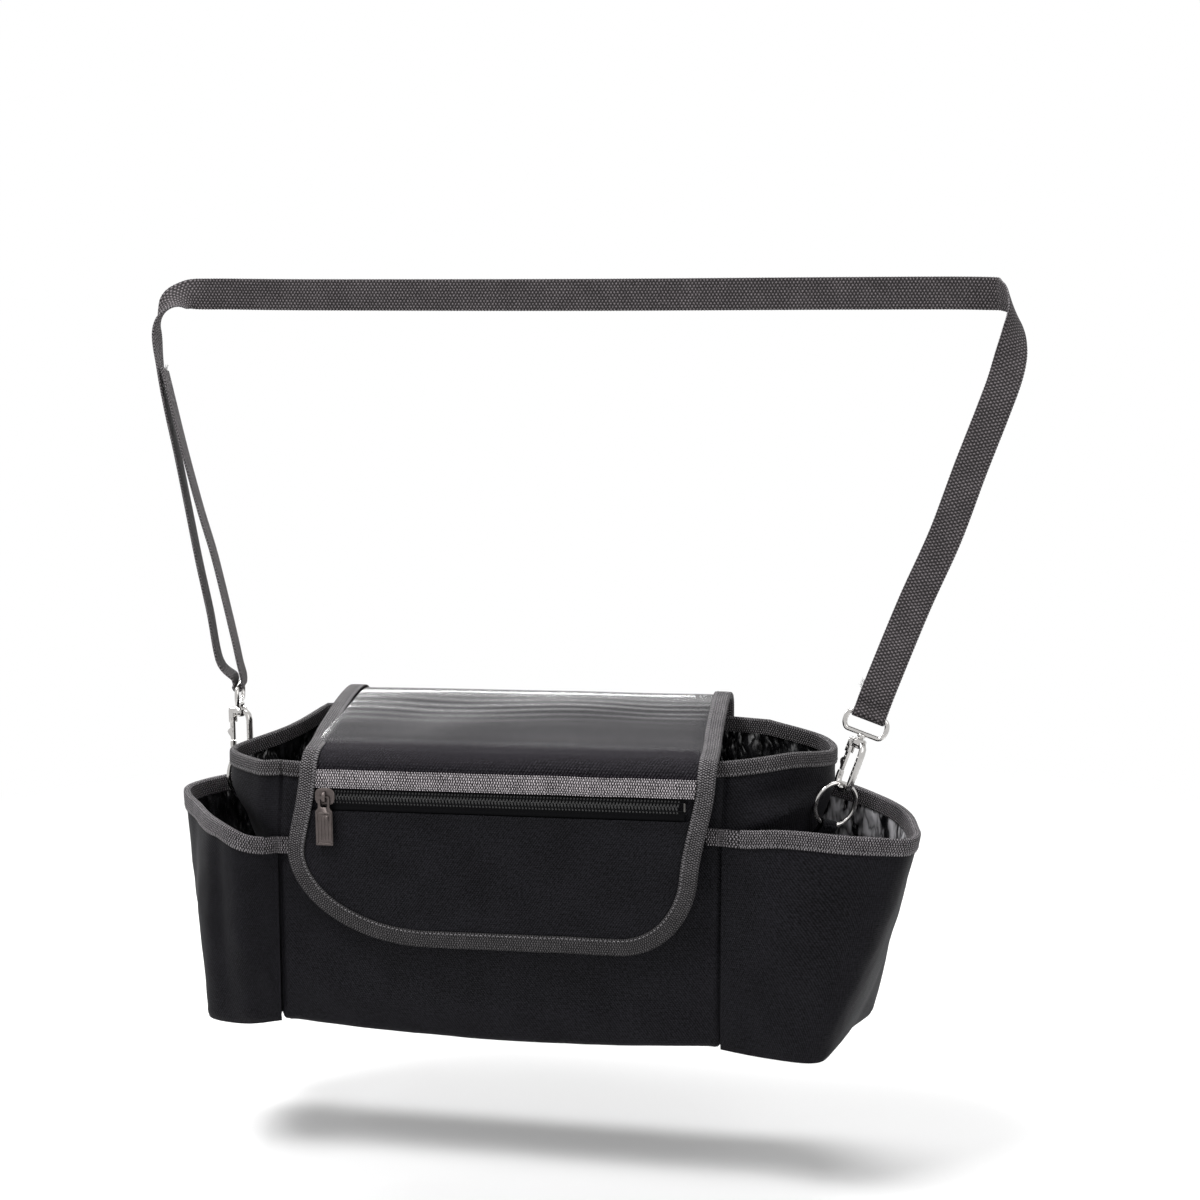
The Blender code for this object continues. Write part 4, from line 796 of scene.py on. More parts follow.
def build_lining():
    """Loose lining inside the walls, closed at the floor."""
    floor = FABRIC + GAP + BOARD + GAP
    rows = heights(26)
    columns = ring_of_columns(200)
    size = len(columns)
    layers = []
    for extra in (0.0, LINING):
        verts = []
        for t in rows:
            for i in columns:
                point = soft_body(i, t, FABRIC + GAP + extra)
                loose = 0.5 + 0.5 * ripple(i * 0.02, t * WALL_UV, 0.012, 4)
                slack = LINING_SLACK * loose * smoothstep((0.95 - t) / 0.1)
                point -= body_normal(i, t) * slack
                verts.append(point)
        for k in range(size):
            verts[k].z = floor + extra - base_sag(verts[k].x)
        layers.append(verts)
    verts = layers[0] + layers[1]
    count = len(layers[0])
    faces = []
    for r in range(len(rows) - 1):
        for c in range(size):
            n = (c + 1) % size
            quad = (r * size + c, r * size + n, (r + 1) * size + n, (r + 1) * size + c)
            faces.append(quad)
            faces.append(tuple(i + count for i in reversed(quad)))
    top = (len(rows) - 1) * size
    for c in range(size):
        n = (c + 1) % size
        faces.append((top + c, top + n, top + n + count, top + c + count))
    faces.append(tuple(reversed(range(size))))
    faces.append(tuple(range(count, count + size)))
    uvs = [(i / size * LOOP_LENGTH, t * WALL_UV) for t in rows for i in range(size)]
    dress(make_mesh("main_lining_cloth", verts, faces, uvs + uvs, "lining"), BAG, "main_lining")


def build_base():
    """Base cloth and stiffener, sagging a little between the seams."""
    for name, low, high, material, node in (
            ("base_cloth", -0.0002, FABRIC, "cloth", "base_panel"),
            ("base_stiffener", FABRIC + GAP, FABRIC + GAP + BOARD, "board", "base_board")):

        def spot(r, c):
            u = c / 40
            front = soft_body(u * 10, 0.02, BASE_INSET)
            back = soft_body(30 - u * 10, 0.02, BASE_INSET)
            swell = lerp(0.0, 0.004, math.sin(math.pi * r / 12))
            left = -swell if c == 0 else 0.0
            right = swell if c == 40 else 0.0
            x = lerp(front.x, back.x, r / 12) + left + right
            y = lerp(front.y, back.y, r / 12)
            sag = base_sag(x)
            return Vector((x, y, low - sag)), Vector((x, y, high - sag)), (x, y)

        dress(sheet(name, range(13), range(41), spot, material), BAG, node)


def build_dividers():
    floor = FABRIC + GAP + BOARD + GAP + LINING + GAP
    inset = FABRIC + 2 * GAP + LINING + 0.0030
    back = BODY_DEPTH - 0.001 - inset
    for side, sign in SIDES:
        u = 0.5 + sign * DIVIDER_X / (2 * PANEL_HALF)

        def spot(t, share):
            z = lerp(floor, DIVIDER_HEIGHT, t)
            front = front_wall_point(u, z / front_rim_height(u)).y + inset
            y = lerp(front, back, share)
            bow = 0.004 * math.sin(math.pi * share) * t + 0.0015 * ripple(y, z, 0.03, 5 + sign) * t
            x = sign * (DIVIDER_X + bow)
            low = z - base_sag(x) * (1.0 - t)
            return Vector((x + DIVIDER_HALF, y, low)), Vector((x - DIVIDER_HALF, y, low)), (y, z)

        item = sheet("divider_%s_cloth" % side, spread(0.0, 1.0, 24), spread(0.0, 1.0, 20), spot, "lining")
        dress(item, BAG, "divider_" + side)


def fold_section(stack, leg):
    """Soft U of tape over a stack of cloth: outer leg, rounded top, inner leg, and back inside."""
    outside = GAP + TAPE
    far = -(stack + GAP + TAPE)
    middle = (outside + far) / 2
    half = (outside - far) / 2
    top = GAP + TAPE - 0.0004
    points = [(outside, -leg), (outside + 0.0001, -leg * 0.66),
              (outside + 0.0001, -leg * 0.33), (outside, -0.0010)]
    for k in range(1, 8):
        turn = math.pi * k / 8
        points.append((middle + half * math.cos(turn), -0.0006 + (top + 0.0006) * math.sin(turn)))
    points += [(far, -0.0010), (far, -leg * 0.5), (far, -leg)]
    points += [(far + TAPE, -leg), (far + TAPE, -0.0002), (GAP, -0.0002), (GAP, -leg)]
    return points


def wavering(frames, amount, size, seed):
    """Let a tape's place wander a little along its length."""
    run = 0.0
    done = []
    last = None
    for point, side, up in frames:
        if last is not None:
            run += (point - last).length
        last = point
        shift = amount * ripple(run, 0.0, size, seed)
        done.append((point + up * shift, side, up, 1.0))
    return done


def tape_stitches(name, frames, leg, spacing=0.0026):
    """Stitch line near the lower edge of a binding's outer leg."""
    lift = GAP + TAPE + 0.00010
    points = [p + side * lift - up * (leg - 0.0014) for p, side, up, _ in frames]
    normals = [side for _, side, _, _ in frames]
    return stitches(name, along_path(points, normals, spacing), spacing * 0.74, 0.00062)


def build_main_binding():
    stack = FABRIC + GAP + LINING
    frames = []
    for i in ring_of_columns(280):
        rim = soft_body(i, 1.0)
        rise = (rim - soft_body(i, 0.95)).normalized()
        frames.append((rim, body_normal(i, 0.97), rise))
    frames = wavering(frames, 0.0003, 0.020, 11)
    item = tube("main_binding_tape", frames, fold_section(stack, RIM_TAPE_HEIGHT), "tape", closed=True)
    dress(item, BAG, "main_rim_binding")
    dress(tape_stitches("main_binding_stitches", frames + frames[:1], RIM_TAPE_HEIGHT), BAG)


# End pockets

def pocket_control(side):
    reach = POCKET_RIM_REACH[side]
    base = POCKET_BASE_REACH[side]
    back = POCKET_BASE_BACK[side]
    front = -(FABRIC + GAP)
    behind = BODY_DEPTH + FABRIC + GAP
    rim_seam = POCKET_RIM_SEAM[side]
    past_corner = lerp(POCKET_RIM_CORNER[side], POCKET_RIM_TIP[side], 0.4)
    if side == "left":
        return [
            (0.0003, front, 0.0003, front, rim_seam),
            (0.0220, front - 0.003, 0.0200, front - 0.010, POCKET_RIM_FRONT[side]),
            (base - 0.006, front + 0.003, 0.0420, front + 0.002, POCKET_RIM_CORNER[side]),
            (base, 0.0140, 0.0650, 0.0300, past_corner),
            (base + 0.003, 0.0500, reach, 0.0620, POCKET_RIM_TIP[side]),
            (back, 0.0880, 0.0640, 0.0980, POCKET_RIM_BACK[side]),
            (0.0300, behind, 0.0360, behind, POCKET_RIM_END[side]),
            (0.0080, behind, 0.0110, behind, POCKET_RIM_END[side]),
        ]
    return [
        (0.0003, front, 0.0003, front, rim_seam),
        (0.0280, front - 0.003, 0.0330, front - 0.006, POCKET_RIM_FRONT[side]),
        (base - 0.007, front - 0.005, 0.0860, front - 0.005, POCKET_RIM_CORNER[side]),
        (base + 0.003, 0.0080, reach - 0.004, 0.0030, past_corner),
        (base + 0.011, 0.0480, reach - 0.003, 0.0380, POCKET_RIM_TIP[side]),
        (back, 0.0900, 0.1000, 0.0760, POCKET_RIM_BACK[side]),
        (0.0420, behind, 0.0560, behind, POCKET_RIM_END[side]),
        (0.0080, behind, 0.0190, behind, POCKET_RIM_END[side]),
    ]


def pocket_point(side, u, t):
    bx, by, rx, ry, rz = curve_at(pocket_control(side), u)
    sign = -1.0 if side == "left" else 1.0
    full = POCKET_FULLNESS * math.sin(math.pi * t) * math.sin(math.pi * u)
    centre = Vector((PANEL_HALF, BODY_DEPTH / 2, 0.0))
    point = Vector((PANEL_HALF + lerp(bx, rx, t), lerp(by, ry, t), 0.0))
    point += (point - centre).normalized() * full
    return Vector((sign * point.x, point.y, t * rz))


def pocket_normal(side, u, t):
    step = 0.02
    along = pocket_point(side, u + step, t) - pocket_point(side, u - step, t)
    along.z = 0.0
    along.normalize()
    normal = Vector((along.y, -along.x, 0.0))
    return -normal if side == "left" else normal


POCKET_WIDTH = {"left": 0.215, "right": 0.265}
POCKET_FOLDS = {
    "left": [(0.0022, 0.030, 0.060, 0.060, 0.009, 86), (-0.0024, 0.050, 0.065, 0.060, 0.007, 84),
             (0.0018, 0.012, 0.030, 0.030, 0.006, 50), (-0.0015, 0.095, 0.070, 0.050, 0.010, 95),
             (0.0016, 0.140, 0.070, 0.050, 0.014, 80)],
    "right": [(0.0026, 0.045, 0.080, 0.050, 0.018, 60), (-0.0020, 0.072, 0.060, 0.050, 0.014, 75),
              (0.0012, 0.075, 0.022, 0.022, 0.012, 30), (-0.0018, 0.020, 0.030, 0.040, 0.009, 100),
              (0.0020, 0.150, 0.070, 0.060, 0.016, 85), (-0.0016, 0.190, 0.060, 0.060, 0.014, 95)],
}


def soft_pocket(side, u, t, depth=0.0):
    """Outer face of a pocket wall with its folds and its sagging lower edge."""
    point = pocket_point(side, u, t)
    normal = pocket_normal(side, u, t)
    across = u * POCKET_WIDTH[side]
    calm = smoothstep(u / 0.05) * smoothstep((1.0 - u) / 0.05) * smoothstep((1.0 - t) / 0.09)
    push = folds_at(POCKET_FOLDS[side], across, point.z) * calm
    push += 0.0012 * ripple(across, point.z, 0.045, 21) * calm
    push += 0.0004 * ripple(across, point.z, 0.012, 22) * calm
    crease = 0.0009 * math.exp(-(point.z / 0.002) ** 2)
    point = point + normal * (push * smoothstep(t / 0.05) - depth - crease)
    point.z += 0.0012 * ripple(across, 0.0, 0.035, 23) * calm_edge(u) * smoothstep((t - 0.7) / 0.3)
    point.z -= 0.0030 * math.sin(math.pi * min(u / 0.45, 1.0)) * (1.0 - t) ** 3
    return point


def calm_edge(u):
    return smoothstep(u / 0.08) * smoothstep((1.0 - u) / 0.08)


def back_seam_strip(side, edge):
    """Points that carry a pocket wall's back edge on past the back seam of the bag."""
    corner = 20 if side == "right" else 30
    sign = 1.0 if side == "right" else -1.0
    seam = body_point(corner, min(max(edge.z, 0.0) / BACK_SEAM_RIM[side], 1.0))
    end = seam.x - sign * SEAM_LAP
    return [Vector((lerp(edge.x, end, k / 4), edge.y, edge.z)) for k in range(1, 5)]


def build_pocket(side):
    width = POCKET_WIDTH[side]

    def spot_row(t):
        row_out = [soft_pocket(side, u, t) for u in columns]
        row_in = [soft_pocket(side, u, t, FABRIC) for u in columns]
        row_uv = [(u * width, t * POCKET_UV) for u in columns]
        strip = back_seam_strip(side, row_out[-1])
        row_uv += [(width + (p - row_out[-1]).length, t * POCKET_UV) for p in strip]
        return row_out + strip, row_in + back_seam_strip(side, row_in[-1]), row_uv

    columns = [i / 110 for i in range(111)]
    outer, inner, uvs = zip(*[spot_row(t) for t in heights(34)])
    dress(shell("pocket_cloth_" + side, outer, inner, uvs, "cloth"), BAG, "pocket_wall_" + side)
    build_pocket_lining(side)
    build_pocket_base(side)
    build_pocket_binding(side)


def build_pocket_lining(side):
    width = POCKET_WIDTH[side]

    def spot(t, u):
        loose = 0.5 + 0.5 * ripple(u * width, t * POCKET_UV, 0.011, 31)
        slack = POCKET_SLACK * loose * smoothstep((0.95 - t) / 0.08) * smoothstep(t / 0.1)
        outer = soft_pocket(side, u, t, FABRIC + GAP + slack)
        inner = soft_pocket(side, u, t, FABRIC + GAP + LINING + slack)
        return outer, inner, (u * width, t * POCKET_UV)

    # The right pocket's lining is the copy with painted glints.
    material = "glossy_lining_painted_glints" if side == "right" else "lining"
    name = "pocket_lining_cloth_" + side
    item = sheet(name, spread(0.012, 1.0, 44), spread(0.05, 0.90, 110), spot, material)
    dress(item, BAG, "pocket_lining_" + side)


def build_pocket_base(side):
    """Base cloth between the pocket wall and the end wall of the main compartment."""
    low = []
    high = []
    uvs = []
    for k in range(49):
        u = lerp(0.07, 0.96, k / 48)
        outer = soft_pocket(side, u, 0.012, FABRIC + 0.0004)
        along = lerp(0.3, 9.7, k / 48)
        column = 10 + along if side == "right" else 40 - along
        inner = body_point(column, 0.0) + body_normal(column, 0.0) * (2 * GAP)
        row = [outer.lerp(inner, j / 10) for j in range(11)]
        edge = outer.z - 0.0012
        low.append([Vector((p.x, p.y, lerp(edge, 0.0, j / 10))) for j, p in enumerate(row)])
        high.append([Vector((p.x, p.y, lerp(edge, 0.0, j / 10) + FABRIC)) for j, p in enumerate(row)])
        uvs.append([(p.x, p.y) for p in row])
    dress(shell("pocket_base_cloth_" + side, low, high, uvs, "cloth"), BAG, "pocket_base_" + side)


def build_pocket_binding(side):
    stack = FABRIC + GAP + LINING
    frames = []
    for k in range(121):
        u = lerp(0.05, 0.985, k / 120)
        rim = soft_pocket(side, u, 1.0)
        rise = (rim - soft_pocket(side, u, 0.94)).normalized()
        frames.append((rim, pocket_normal(side, u, 1.0), rise))
    frames = wavering(frames, 0.0003, 0.020, 13)
    # The pocket binding takes the lighter copy of the grey binding: painted light.
    item = tube("pocket_binding_tape_" + side, frames, fold_section(stack, POCKET_TAPE_HEIGHT), "rim_tape_painted_light")
    dress(item, BAG, "pocket_binding_" + side)
    tail = build_tail(side, frames[0])
    dress(tail, BAG)
    row = tape_stitches("pocket_binding_stitches_" + side, frames, POCKET_TAPE_HEIGHT)
    dress(row, BAG)


def build_tail(side, first):
    """Tape's outer leg carried on past the front seam, flat on the front panel."""
    sign = SIGN[side]
    point, normal = first[:2]
    seam = sign * PANEL_HALF
    top = point + normal * (GAP + TAPE / 2)
    way = [tuple(top), (seam + sign * 0.0015, -(FABRIC + 2.6 * GAP + TAPE / 2), 0.0),
           (seam - sign * 0.0015, -(FABRIC + 1.6 * GAP + TAPE / 2), 0.0),
           (seam - sign * TAIL_PAST_SEAM, -(4 * GAP + TAPE / 2), 0.0)]

    def spot(r, u):
        height = lerp(point.z - POCKET_TAPE_HEIGHT, point.z + 0.0006, r)
        x, y = curve_at(way, u)[:2]
        outer = Vector((x, y - TAPE / 2, height))
        inner = Vector((x, y + TAPE / 2, height))
        return outer, inner, (u * TAIL_UV, r * POCKET_TAPE_HEIGHT)

    name = "pocket_binding_tail_" + side
    # The tail takes the lighter copy of the grey binding: painted light.
    return sheet(name, spread(0.0, 1.0, 8), spread(0.0, 1.0, 12), spot, "rim_tape_painted_light")


# Flap

FLAP_PROFILE = [
    (0.1145, 0.1560), (0.1152, 0.1700), (0.1156, 0.1800), (0.1135, 0.1870), (0.1050, 0.1896),
    (0.0900, 0.1886), (0.0700, 0.1850), (0.0460, 0.1795), (0.0220, 0.1740), (0.0060, 0.1716),
    (-0.0015, 0.1702), (-0.0060, 0.1662), (-0.0078, 0.1605), (-0.0083, 0.1540), (-0.0085, 0.1400),
    (-0.0085, 0.1100), (-0.0085, 0.0800), (-0.0085, 0.0560)]
FLAP_LEFT_EDGE = [(-0.1235,), (-0.1235,), (-0.1215,), (-0.1185,), (-0.1275,), (-0.1270,)]
FLAP_RIGHT_EDGE = [(0.1290,), (0.1290,), (0.1315,), (0.1340,), (0.1245,), (0.1215,)]
FLAP_CORNER = {"left": (0.086, 0.062), "right": (0.044, 0.048)}
FINE = 1200


def profile_table():
    fine = [curve_at(FLAP_PROFILE, i / FINE) for i in range(FINE + 1)]
    run = [0.0]
    for a, b in zip(fine, fine[1:]):
        run.append(run[-1] + math.hypot(b[0] - a[0], b[1] - a[1]))
    return fine, run


PROFILE_POINTS, PROFILE_RUN = profile_table()
FLAP_LENGTH = PROFILE_RUN[-1]


def profile_at(s):
    """Point and outward normal of the flap's under side, s along its length from the back."""
    s = min(max(s, 0.0), FLAP_LENGTH - 1e-9)
    low = 0
    high = len(PROFILE_RUN) - 1
    while high - low > 1:
        mid = (low + high) // 2
        if PROFILE_RUN[mid] <= s:
            low = mid
        else:
            high = mid
    a = PROFILE_POINTS[max(low - 4, 0)]
    b = PROFILE_POINTS[min(high + 4, len(PROFILE_POINTS) - 1)]
    dy = b[0] - a[0]
    dz = b[1] - a[1]
    size = math.hypot(dy, dz)
    t = (s - PROFILE_RUN[low]) / (PROFILE_RUN[high] - PROFILE_RUN[low])
    start = PROFILE_POINTS[low]
    end = PROFILE_POINTS[high]
    return lerp(start[0], end[0], t), lerp(start[1], end[1], t), dz / size, -dy / size


def run_at_height(height):
    low = PROFILE_RUN[round(FINE * 0.6)]
    high = FLAP_LENGTH
    for _ in range(40):
        mid = (low + high) / 2
        if profile_at(mid)[1] > height:
            low = mid
        else:
            high = mid
    return (low + high) / 2


ZIP_RUN = run_at_height(ZIP_HEIGHT)
TAPE_LOW_RUN = ZIP_RUN - COIL_HALF_WIDTH - COIL_SLOT / 2 - TAPE_TO_COIL
TAPE_HIGH_RUN = TAPE_LOW_RUN - WINDOW_TAPE_WIDTH
WINDOW_START_RUN = PROFILE_RUN[round(FINE * 4 / (len(FLAP_PROFILE) - 1))]


def flap_wave(x, s):
    """Gentle waves of the flap's cloth, calm along the zip."""
    calm = smoothstep(abs(s - ZIP_RUN) / 0.018)
    low = smoothstep((s - ZIP_RUN) / 0.04)
    wave = 0.0008 * ripple(x, s, 0.055, 41) * calm
    wave += 0.0010 * fold(x, s, -0.055, ZIP_RUN + 0.045, 0.030, 0.016, 28) * low
    wave += 0.0009 * fold(x, s, 0.070, ZIP_RUN + 0.040, 0.030, 0.014, -35) * low
    return wave


def flap_point(x, s, lift):
    y, z, ny, nz = profile_at(s)
    lift += flap_wave(x, s) + 0.0008
    return Vector((x, y + ny * lift, z + nz * lift + FLAP_SHEAR * x))


def flap_normal(s):
    ny, nz = profile_at(s)[2:]
    return Vector((0.0, ny, nz))


def flap_edges(s):
    w = s / FLAP_LENGTH
    return curve_at(FLAP_LEFT_EDGE, w)[0], curve_at(FLAP_RIGHT_EDGE, w)[0]


def corner_rise(distance, across, along):
    if distance >= across:
        return 0.0
    part = (across - distance) / across
    return along * (1.0 - math.sqrt(max(0.0, 1.0 - part * part)))


def flap_bottom(from_left, from_right, inset):
    rises = []
    for side, distance in (("left", from_left), ("right", from_right)):
        across, along = FLAP_CORNER[side]
        rises.append(corner_rise(distance, across - inset, along - inset))
    return FLAP_LENGTH - inset - max(rises)


def flap_sheet(name, start, stop, low, high, inset, material, columns, rows, bulge=None):
    """Sheet of the flap between two runs; a stop of None follows the lower outline."""
    left_end, right_end = flap_edges(FLAP_LENGTH)
    width = right_end - left_end - 2 * inset

    def spot(r, u):
        end = flap_bottom(u * width, (1.0 - u) * width, inset) if stop is None else stop
        s = lerp(start, end, r)
        left, right = flap_edges(s)
        x = lerp(left + inset, right - inset, u)
        rise = bulge(x, s) if bulge else 0.0
        return flap_point(x, s, high + rise), flap_point(x, s, low + rise), (x, s)

    places = [0.5 - 0.5 * math.cos(math.pi * i / columns) for i in range(columns + 1)]
    return sheet(name, spread(0.0, 1.0, rows), places, spot, material)


def flap_outline(inset, step=0.003):
    """Edge of the flap as (x, run) pairs, down the left side, along the bottom, up the right."""
    left_end, right_end = flap_edges(FLAP_LENGTH)
    width = right_end - left_end - 2 * inset
    left_corner = FLAP_LENGTH - FLAP_CORNER["left"][1]
    right_corner = FLAP_LENGTH - FLAP_CORNER["right"][1]
    path = []
    count = round(left_corner / step)
    for k in range(count):
        s = left_corner * k / count
        path.append((flap_edges(s)[0] + inset, s))
    for side in ("left", "right"):
        across = FLAP_CORNER[side][0] - inset
        along = FLAP_CORNER[side][1] - inset
        turns = [math.pi / 2 * i / 30 for i in range(31)]
        if side == "right":
            turns.reverse()
            x_from = path[-1][0]
            x_to = right_end - inset - across
            for k in range(1, 36):
                path.append((lerp(x_from, x_to, k / 36), FLAP_LENGTH - inset))
        for turn in turns:
            distance = across * (1.0 - math.cos(turn))
            s = FLAP_LENGTH - inset - along * (1.0 - math.sin(turn))
            left, right = flap_edges(s)
            span = (right - left - 2 * inset) / width
            if side == "left":
                path.append((left + inset + distance * span, s))
            else:
                path.append((right - inset - distance * span, s))
    count = round(right_corner / step)
    for k in range(count - 1, -1, -1):
        s = right_corner * k / count
        path.append((flap_edges(s)[1] - inset, s))
    return path


def film_waves(x, s):
    """The film spans the hollow before the front fold, with ripples under its top fold."""
    near_top = math.exp(-((s - 0.076) / 0.018) ** 2)
    wave = 0.00006 * math.sin(2 * math.pi * s / 0.0082 + 6.5 * ripple(x, s, 0.085, 51)) * near_top
    wave += 0.00025 * ripple(x * 0.25, s, 0.020, 52) * near_top
    wave += 0.00020 * ripple(x, s, 0.050, 53)
    span = 0.0023 * smoothstep((s - 0.050) / 0.076) * (1.0 - smoothstep((s - 0.124) / 0.031))
    edge = min(abs(x + 0.122), abs(x - 0.129))
    return (wave + span + 0.0003) * smoothstep(edge / 0.014) * smoothstep((TAPE_HIGH_RUN - s) / 0.010) \
        * smoothstep((s - WINDOW_START_RUN) / 0.012)


def pocket_panel_roll(x, s):
    """Top edge of the pocket panel stands off the flap a little under the zip."""
    top = ZIP_RUN + 0.0085
    left, right = flap_edges(s)
    calm = smoothstep((min(x - left, right - x) - FLAP_TAPE_WIDTH) / 0.008)
    return calm * (0.0016 * math.exp(-((s - top) / 0.004) ** 2) + 0.0004 * smoothstep((s - top) / 0.02))


def build_flap():
    inset = TAPE + GAP * 2.5
    face = BACKING + GAP
    item = flap_sheet("flap_backing_cloth", 0.0, None, 0.0, BACKING, inset, "cloth", 70, 110)
    dress(item, BAG, "flap_backing")
    item = flap_sheet("flap_window_film", WINDOW_START_RUN, TAPE_HIGH_RUN + WINDOW_TUCK, face, face + FILM,
                      inset, "film", 90, 90, film_waves)
    dress(item, BAG, "flap_window")
    top = ZIP_RUN + COIL_HALF_WIDTH + 0.0055 + 0.0012
    item = flap_sheet("flap_pocket_cloth", top, None, face, face + FLAP_CLOTH, inset, "cloth", 70, 50,
                      pocket_panel_roll)
    dress(item, BAG, "flap_pocket_panel")
    build_window_tape()
    build_flap_binding()
    build_zip()
    build_patches()


def build_window_tape():
    coil_low = BACKING + GAP + SLIDER_PLATE + GAP
    lift = coil_low + 0.0002 + 0.0005 + GAP
    edge = FLAP_TAPE_WIDTH + GAP + 0.0012

    def spot(r, c):
        s = lerp(TAPE_HIGH_RUN, TAPE_LOW_RUN, r)
        left, right = flap_edges(s)
        bend = 0.0003 * math.sin(math.pi * r)
        x = lerp(left + edge, right - edge, c)
        run = s + 0.0003 * ripple(x, 0.0, 0.025, 61)
        return flap_point(x, run, lift + TAPE + bend), flap_point(x, run, lift + bend), (x, s)

    # The window tape takes the lighter copy of the grey binding: painted light.
    item = sheet("window_tape_band", spread(0.0, 1.0, 10), spread(0.0, 1.0, 140), spot, "window_tape")
    dress(item, BAG, "window_tape")
    left, right = flap_edges(TAPE_LOW_RUN)
    for name, s in (("upper", TAPE_HIGH_RUN + 0.0016), ("lower", TAPE_LOW_RUN - 0.0013)):
        points = [flap_point(x, s, lift + TAPE + 0.00015) for x in spread(left + edge, right - edge, 100)]
        places = along_path(points, [flap_normal(s)] * len(points), 0.0026)
        dress(stitches("window_tape_stitches_" + name, places, 0.0019, 0.0006), BAG)


def build_flap_binding():
    stack = BACKING + GAP + FLAP_CLOTH
    outline = flap_outline(inset=TAPE + GAP)
    points = [flap_point(x, s, stack) for x, s in outline]
    frames = []
    last = len(points) - 1
    for i, (x, s) in enumerate(outline):
        along = (points[min(i + 1, last)] - points[max(i - 1, 0)]).normalized()
        normal = flap_normal(s)
        outward = along.cross(normal).normalized()
        frames.append((points[i], normal, outward))
    frames = wavering(frames, 0.00025, 0.022, 15)
    # Flap binding: a lighter copy of the grey binding, with painted shade that is darker lower down.
    item = tube("flap_binding_tape", frames, fold_section(stack, FLAP_TAPE_WIDTH), "flap_tape_painted_light_shade")
    dress(item, BAG, "flap_binding")
    dress(tape_stitches("flap_binding_stitches", frames, FLAP_TAPE_WIDTH), BAG)


def build_patches():
    """Touch fastener: one patch behind the flap and one on the front panel."""
    def hook_spot(z, x):
        s = run_at_height(z - FLAP_SHEAR * x)
        return flap_point(x, s, -GAP), flap_point(x, s, -GAP - PATCH), (x, z)

    def loop_spot(z, x):
        u = 0.5 + x / (2 * PANEL_HALF)
        wall = soft_body(u * 10, z / front_rim_height(u)).y - GAP
        return Vector((x, wall - PATCH, z)), Vector((x, wall, z)), (x, z)

    for name, spot in (("flap_hook_patch", hook_spot), ("flap_loop_patch", loop_spot)):
        item = sheet(name + "_tape", spread(0.070, 0.090, 8), spread(-0.020, 0.020, 16), spot, "zip")
        dress(item, BAG, name)


# Zip

LOWER_PLATE = BACKING + GAP
COIL_LOW = LOWER_PLATE + SLIDER_PLATE + GAP
TAPE_LIFT = 0.0002
ZIP_TAPE = 0.0005
COIL_HIGH = COIL_LOW + COIL_DEPTH
UPPER_PLATE = COIL_HIGH + GAP
SLIDER_X = ZIP_LEFT + 0.0045
PULL_AXIS_OUT = UPPER_PLATE + SLIDER_PLATE + 0.0015
TOOTH_PITCH = 0.00200
TOOTH_REACH = 0.00385
TOOTH_NEAR = 0.00035
TOOTH_RADIUS = 0.00056
TOOTH_SLANT = 0.0010


def plain_flap_point(x, s):
    y, z = profile_at(s)[:2]
    return Vector((x, y, z + FLAP_SHEAR * x))


def zip_frame():
    """Matrix with x along the zip, y out of the flap and z down its face."""
    along = Vector((1.0, 0.0, FLAP_SHEAR)).normalized()
    out = flap_normal(ZIP_RUN)
    out = (out - along * out.dot(along)).normalized()
    rot = Matrix((along, out, along.cross(out))).transposed().to_4x4()
    return Matrix.Translation(plain_flap_point(0.0, ZIP_RUN)) @ rot


ZIP = zip_frame()


def build_zip():
    """Zip tapes with ribs along them and a coil of separate loops on each."""
    low = COIL_LOW + TAPE_LIFT
    near = COIL_SLOT / 2 + COIL_HALF_WIDTH + GAP
    xs = spread(ZIP_LEFT - 0.001, ZIP_RIGHT + 0.001, 80)
    for name, sign, width in (("upper", -1.0, 0.0030), ("lower", 1.0, 0.0055)):

        def spot(r, x):
            z = sign * lerp(near, near + width, r)
            dip = 0.0002 * math.sin(math.pi * r * 3)
            return ZIP @ Vector((x, low + ZIP_TAPE + dip, z)), ZIP @ Vector((x, low + dip, z)), (x, z)

        item = sheet("zip_tape_cloth_" + name, spread(0.0, 1.0, 6), xs, spot, "zip")
        dress(item, BAG, "zip_tape_" + name)
        build_coil(name, sign)
    build_stops()


def build_coil(name, sign):
    """One half of the coil: slanted loops with a sewn cord behind them."""
    middle = (COIL_LOW + COIL_HIGH) / 2
    rise = COIL_DEPTH / 2 - TOOTH_RADIUS
    shift = 0.0 if sign > 0 else TOOTH_PITCH / 2
    verts = []
    faces = []
    for k in range(int((ZIP_RIGHT - ZIP_LEFT - 0.002) / TOOTH_PITCH)):
        x = ZIP_LEFT + 0.001 + k * TOOTH_PITCH + shift
        path = []
        for j in range(7):
            turn = math.pi * j / 6
            z = sign * lerp(TOOTH_REACH, TOOTH_NEAR, math.sin(turn) ** 0.7)
            path.append(Vector((x + TOOTH_SLANT * abs(z) / TOOTH_REACH, middle + rise * math.cos(turn), z)))
        rings = []
        for j, point in enumerate(path):
            along = (path[min(j + 1, 6)] - path[max(j - 1, 0)]).normalized()
            a = along.cross(Vector((1, 0, 0))).normalized()
            b = along.cross(a).normalized()
            size = TOOTH_RADIUS * (1.25 if j in (2, 3, 4) else 1.0)
            rings.append([ZIP @ (point + a * p + b * q) for p, q in round_section(size, 6)])
        add_rings(verts, faces, rings)
    item = bare_mesh("zip_coil_loops_" + name, verts, faces, "tooth")
    dress(item, BAG, "zip_coil_" + name)
    z = sign * TOOTH_REACH * 0.62
    out, down = (ZIP.to_3x3().col[i].copy() for i in (1, 2))
    line = [ZIP @ Vector((x, COIL_HIGH - 0.00005, z)) for x in spread(ZIP_LEFT, ZIP_RIGHT, 60)]
    frames = [(point, out, down, 1.0) for point in line]
    dress(tube("zip_coil_cord_" + name, frames, ellipse(0.00022, 0.00042, 8), "zip"), BAG)


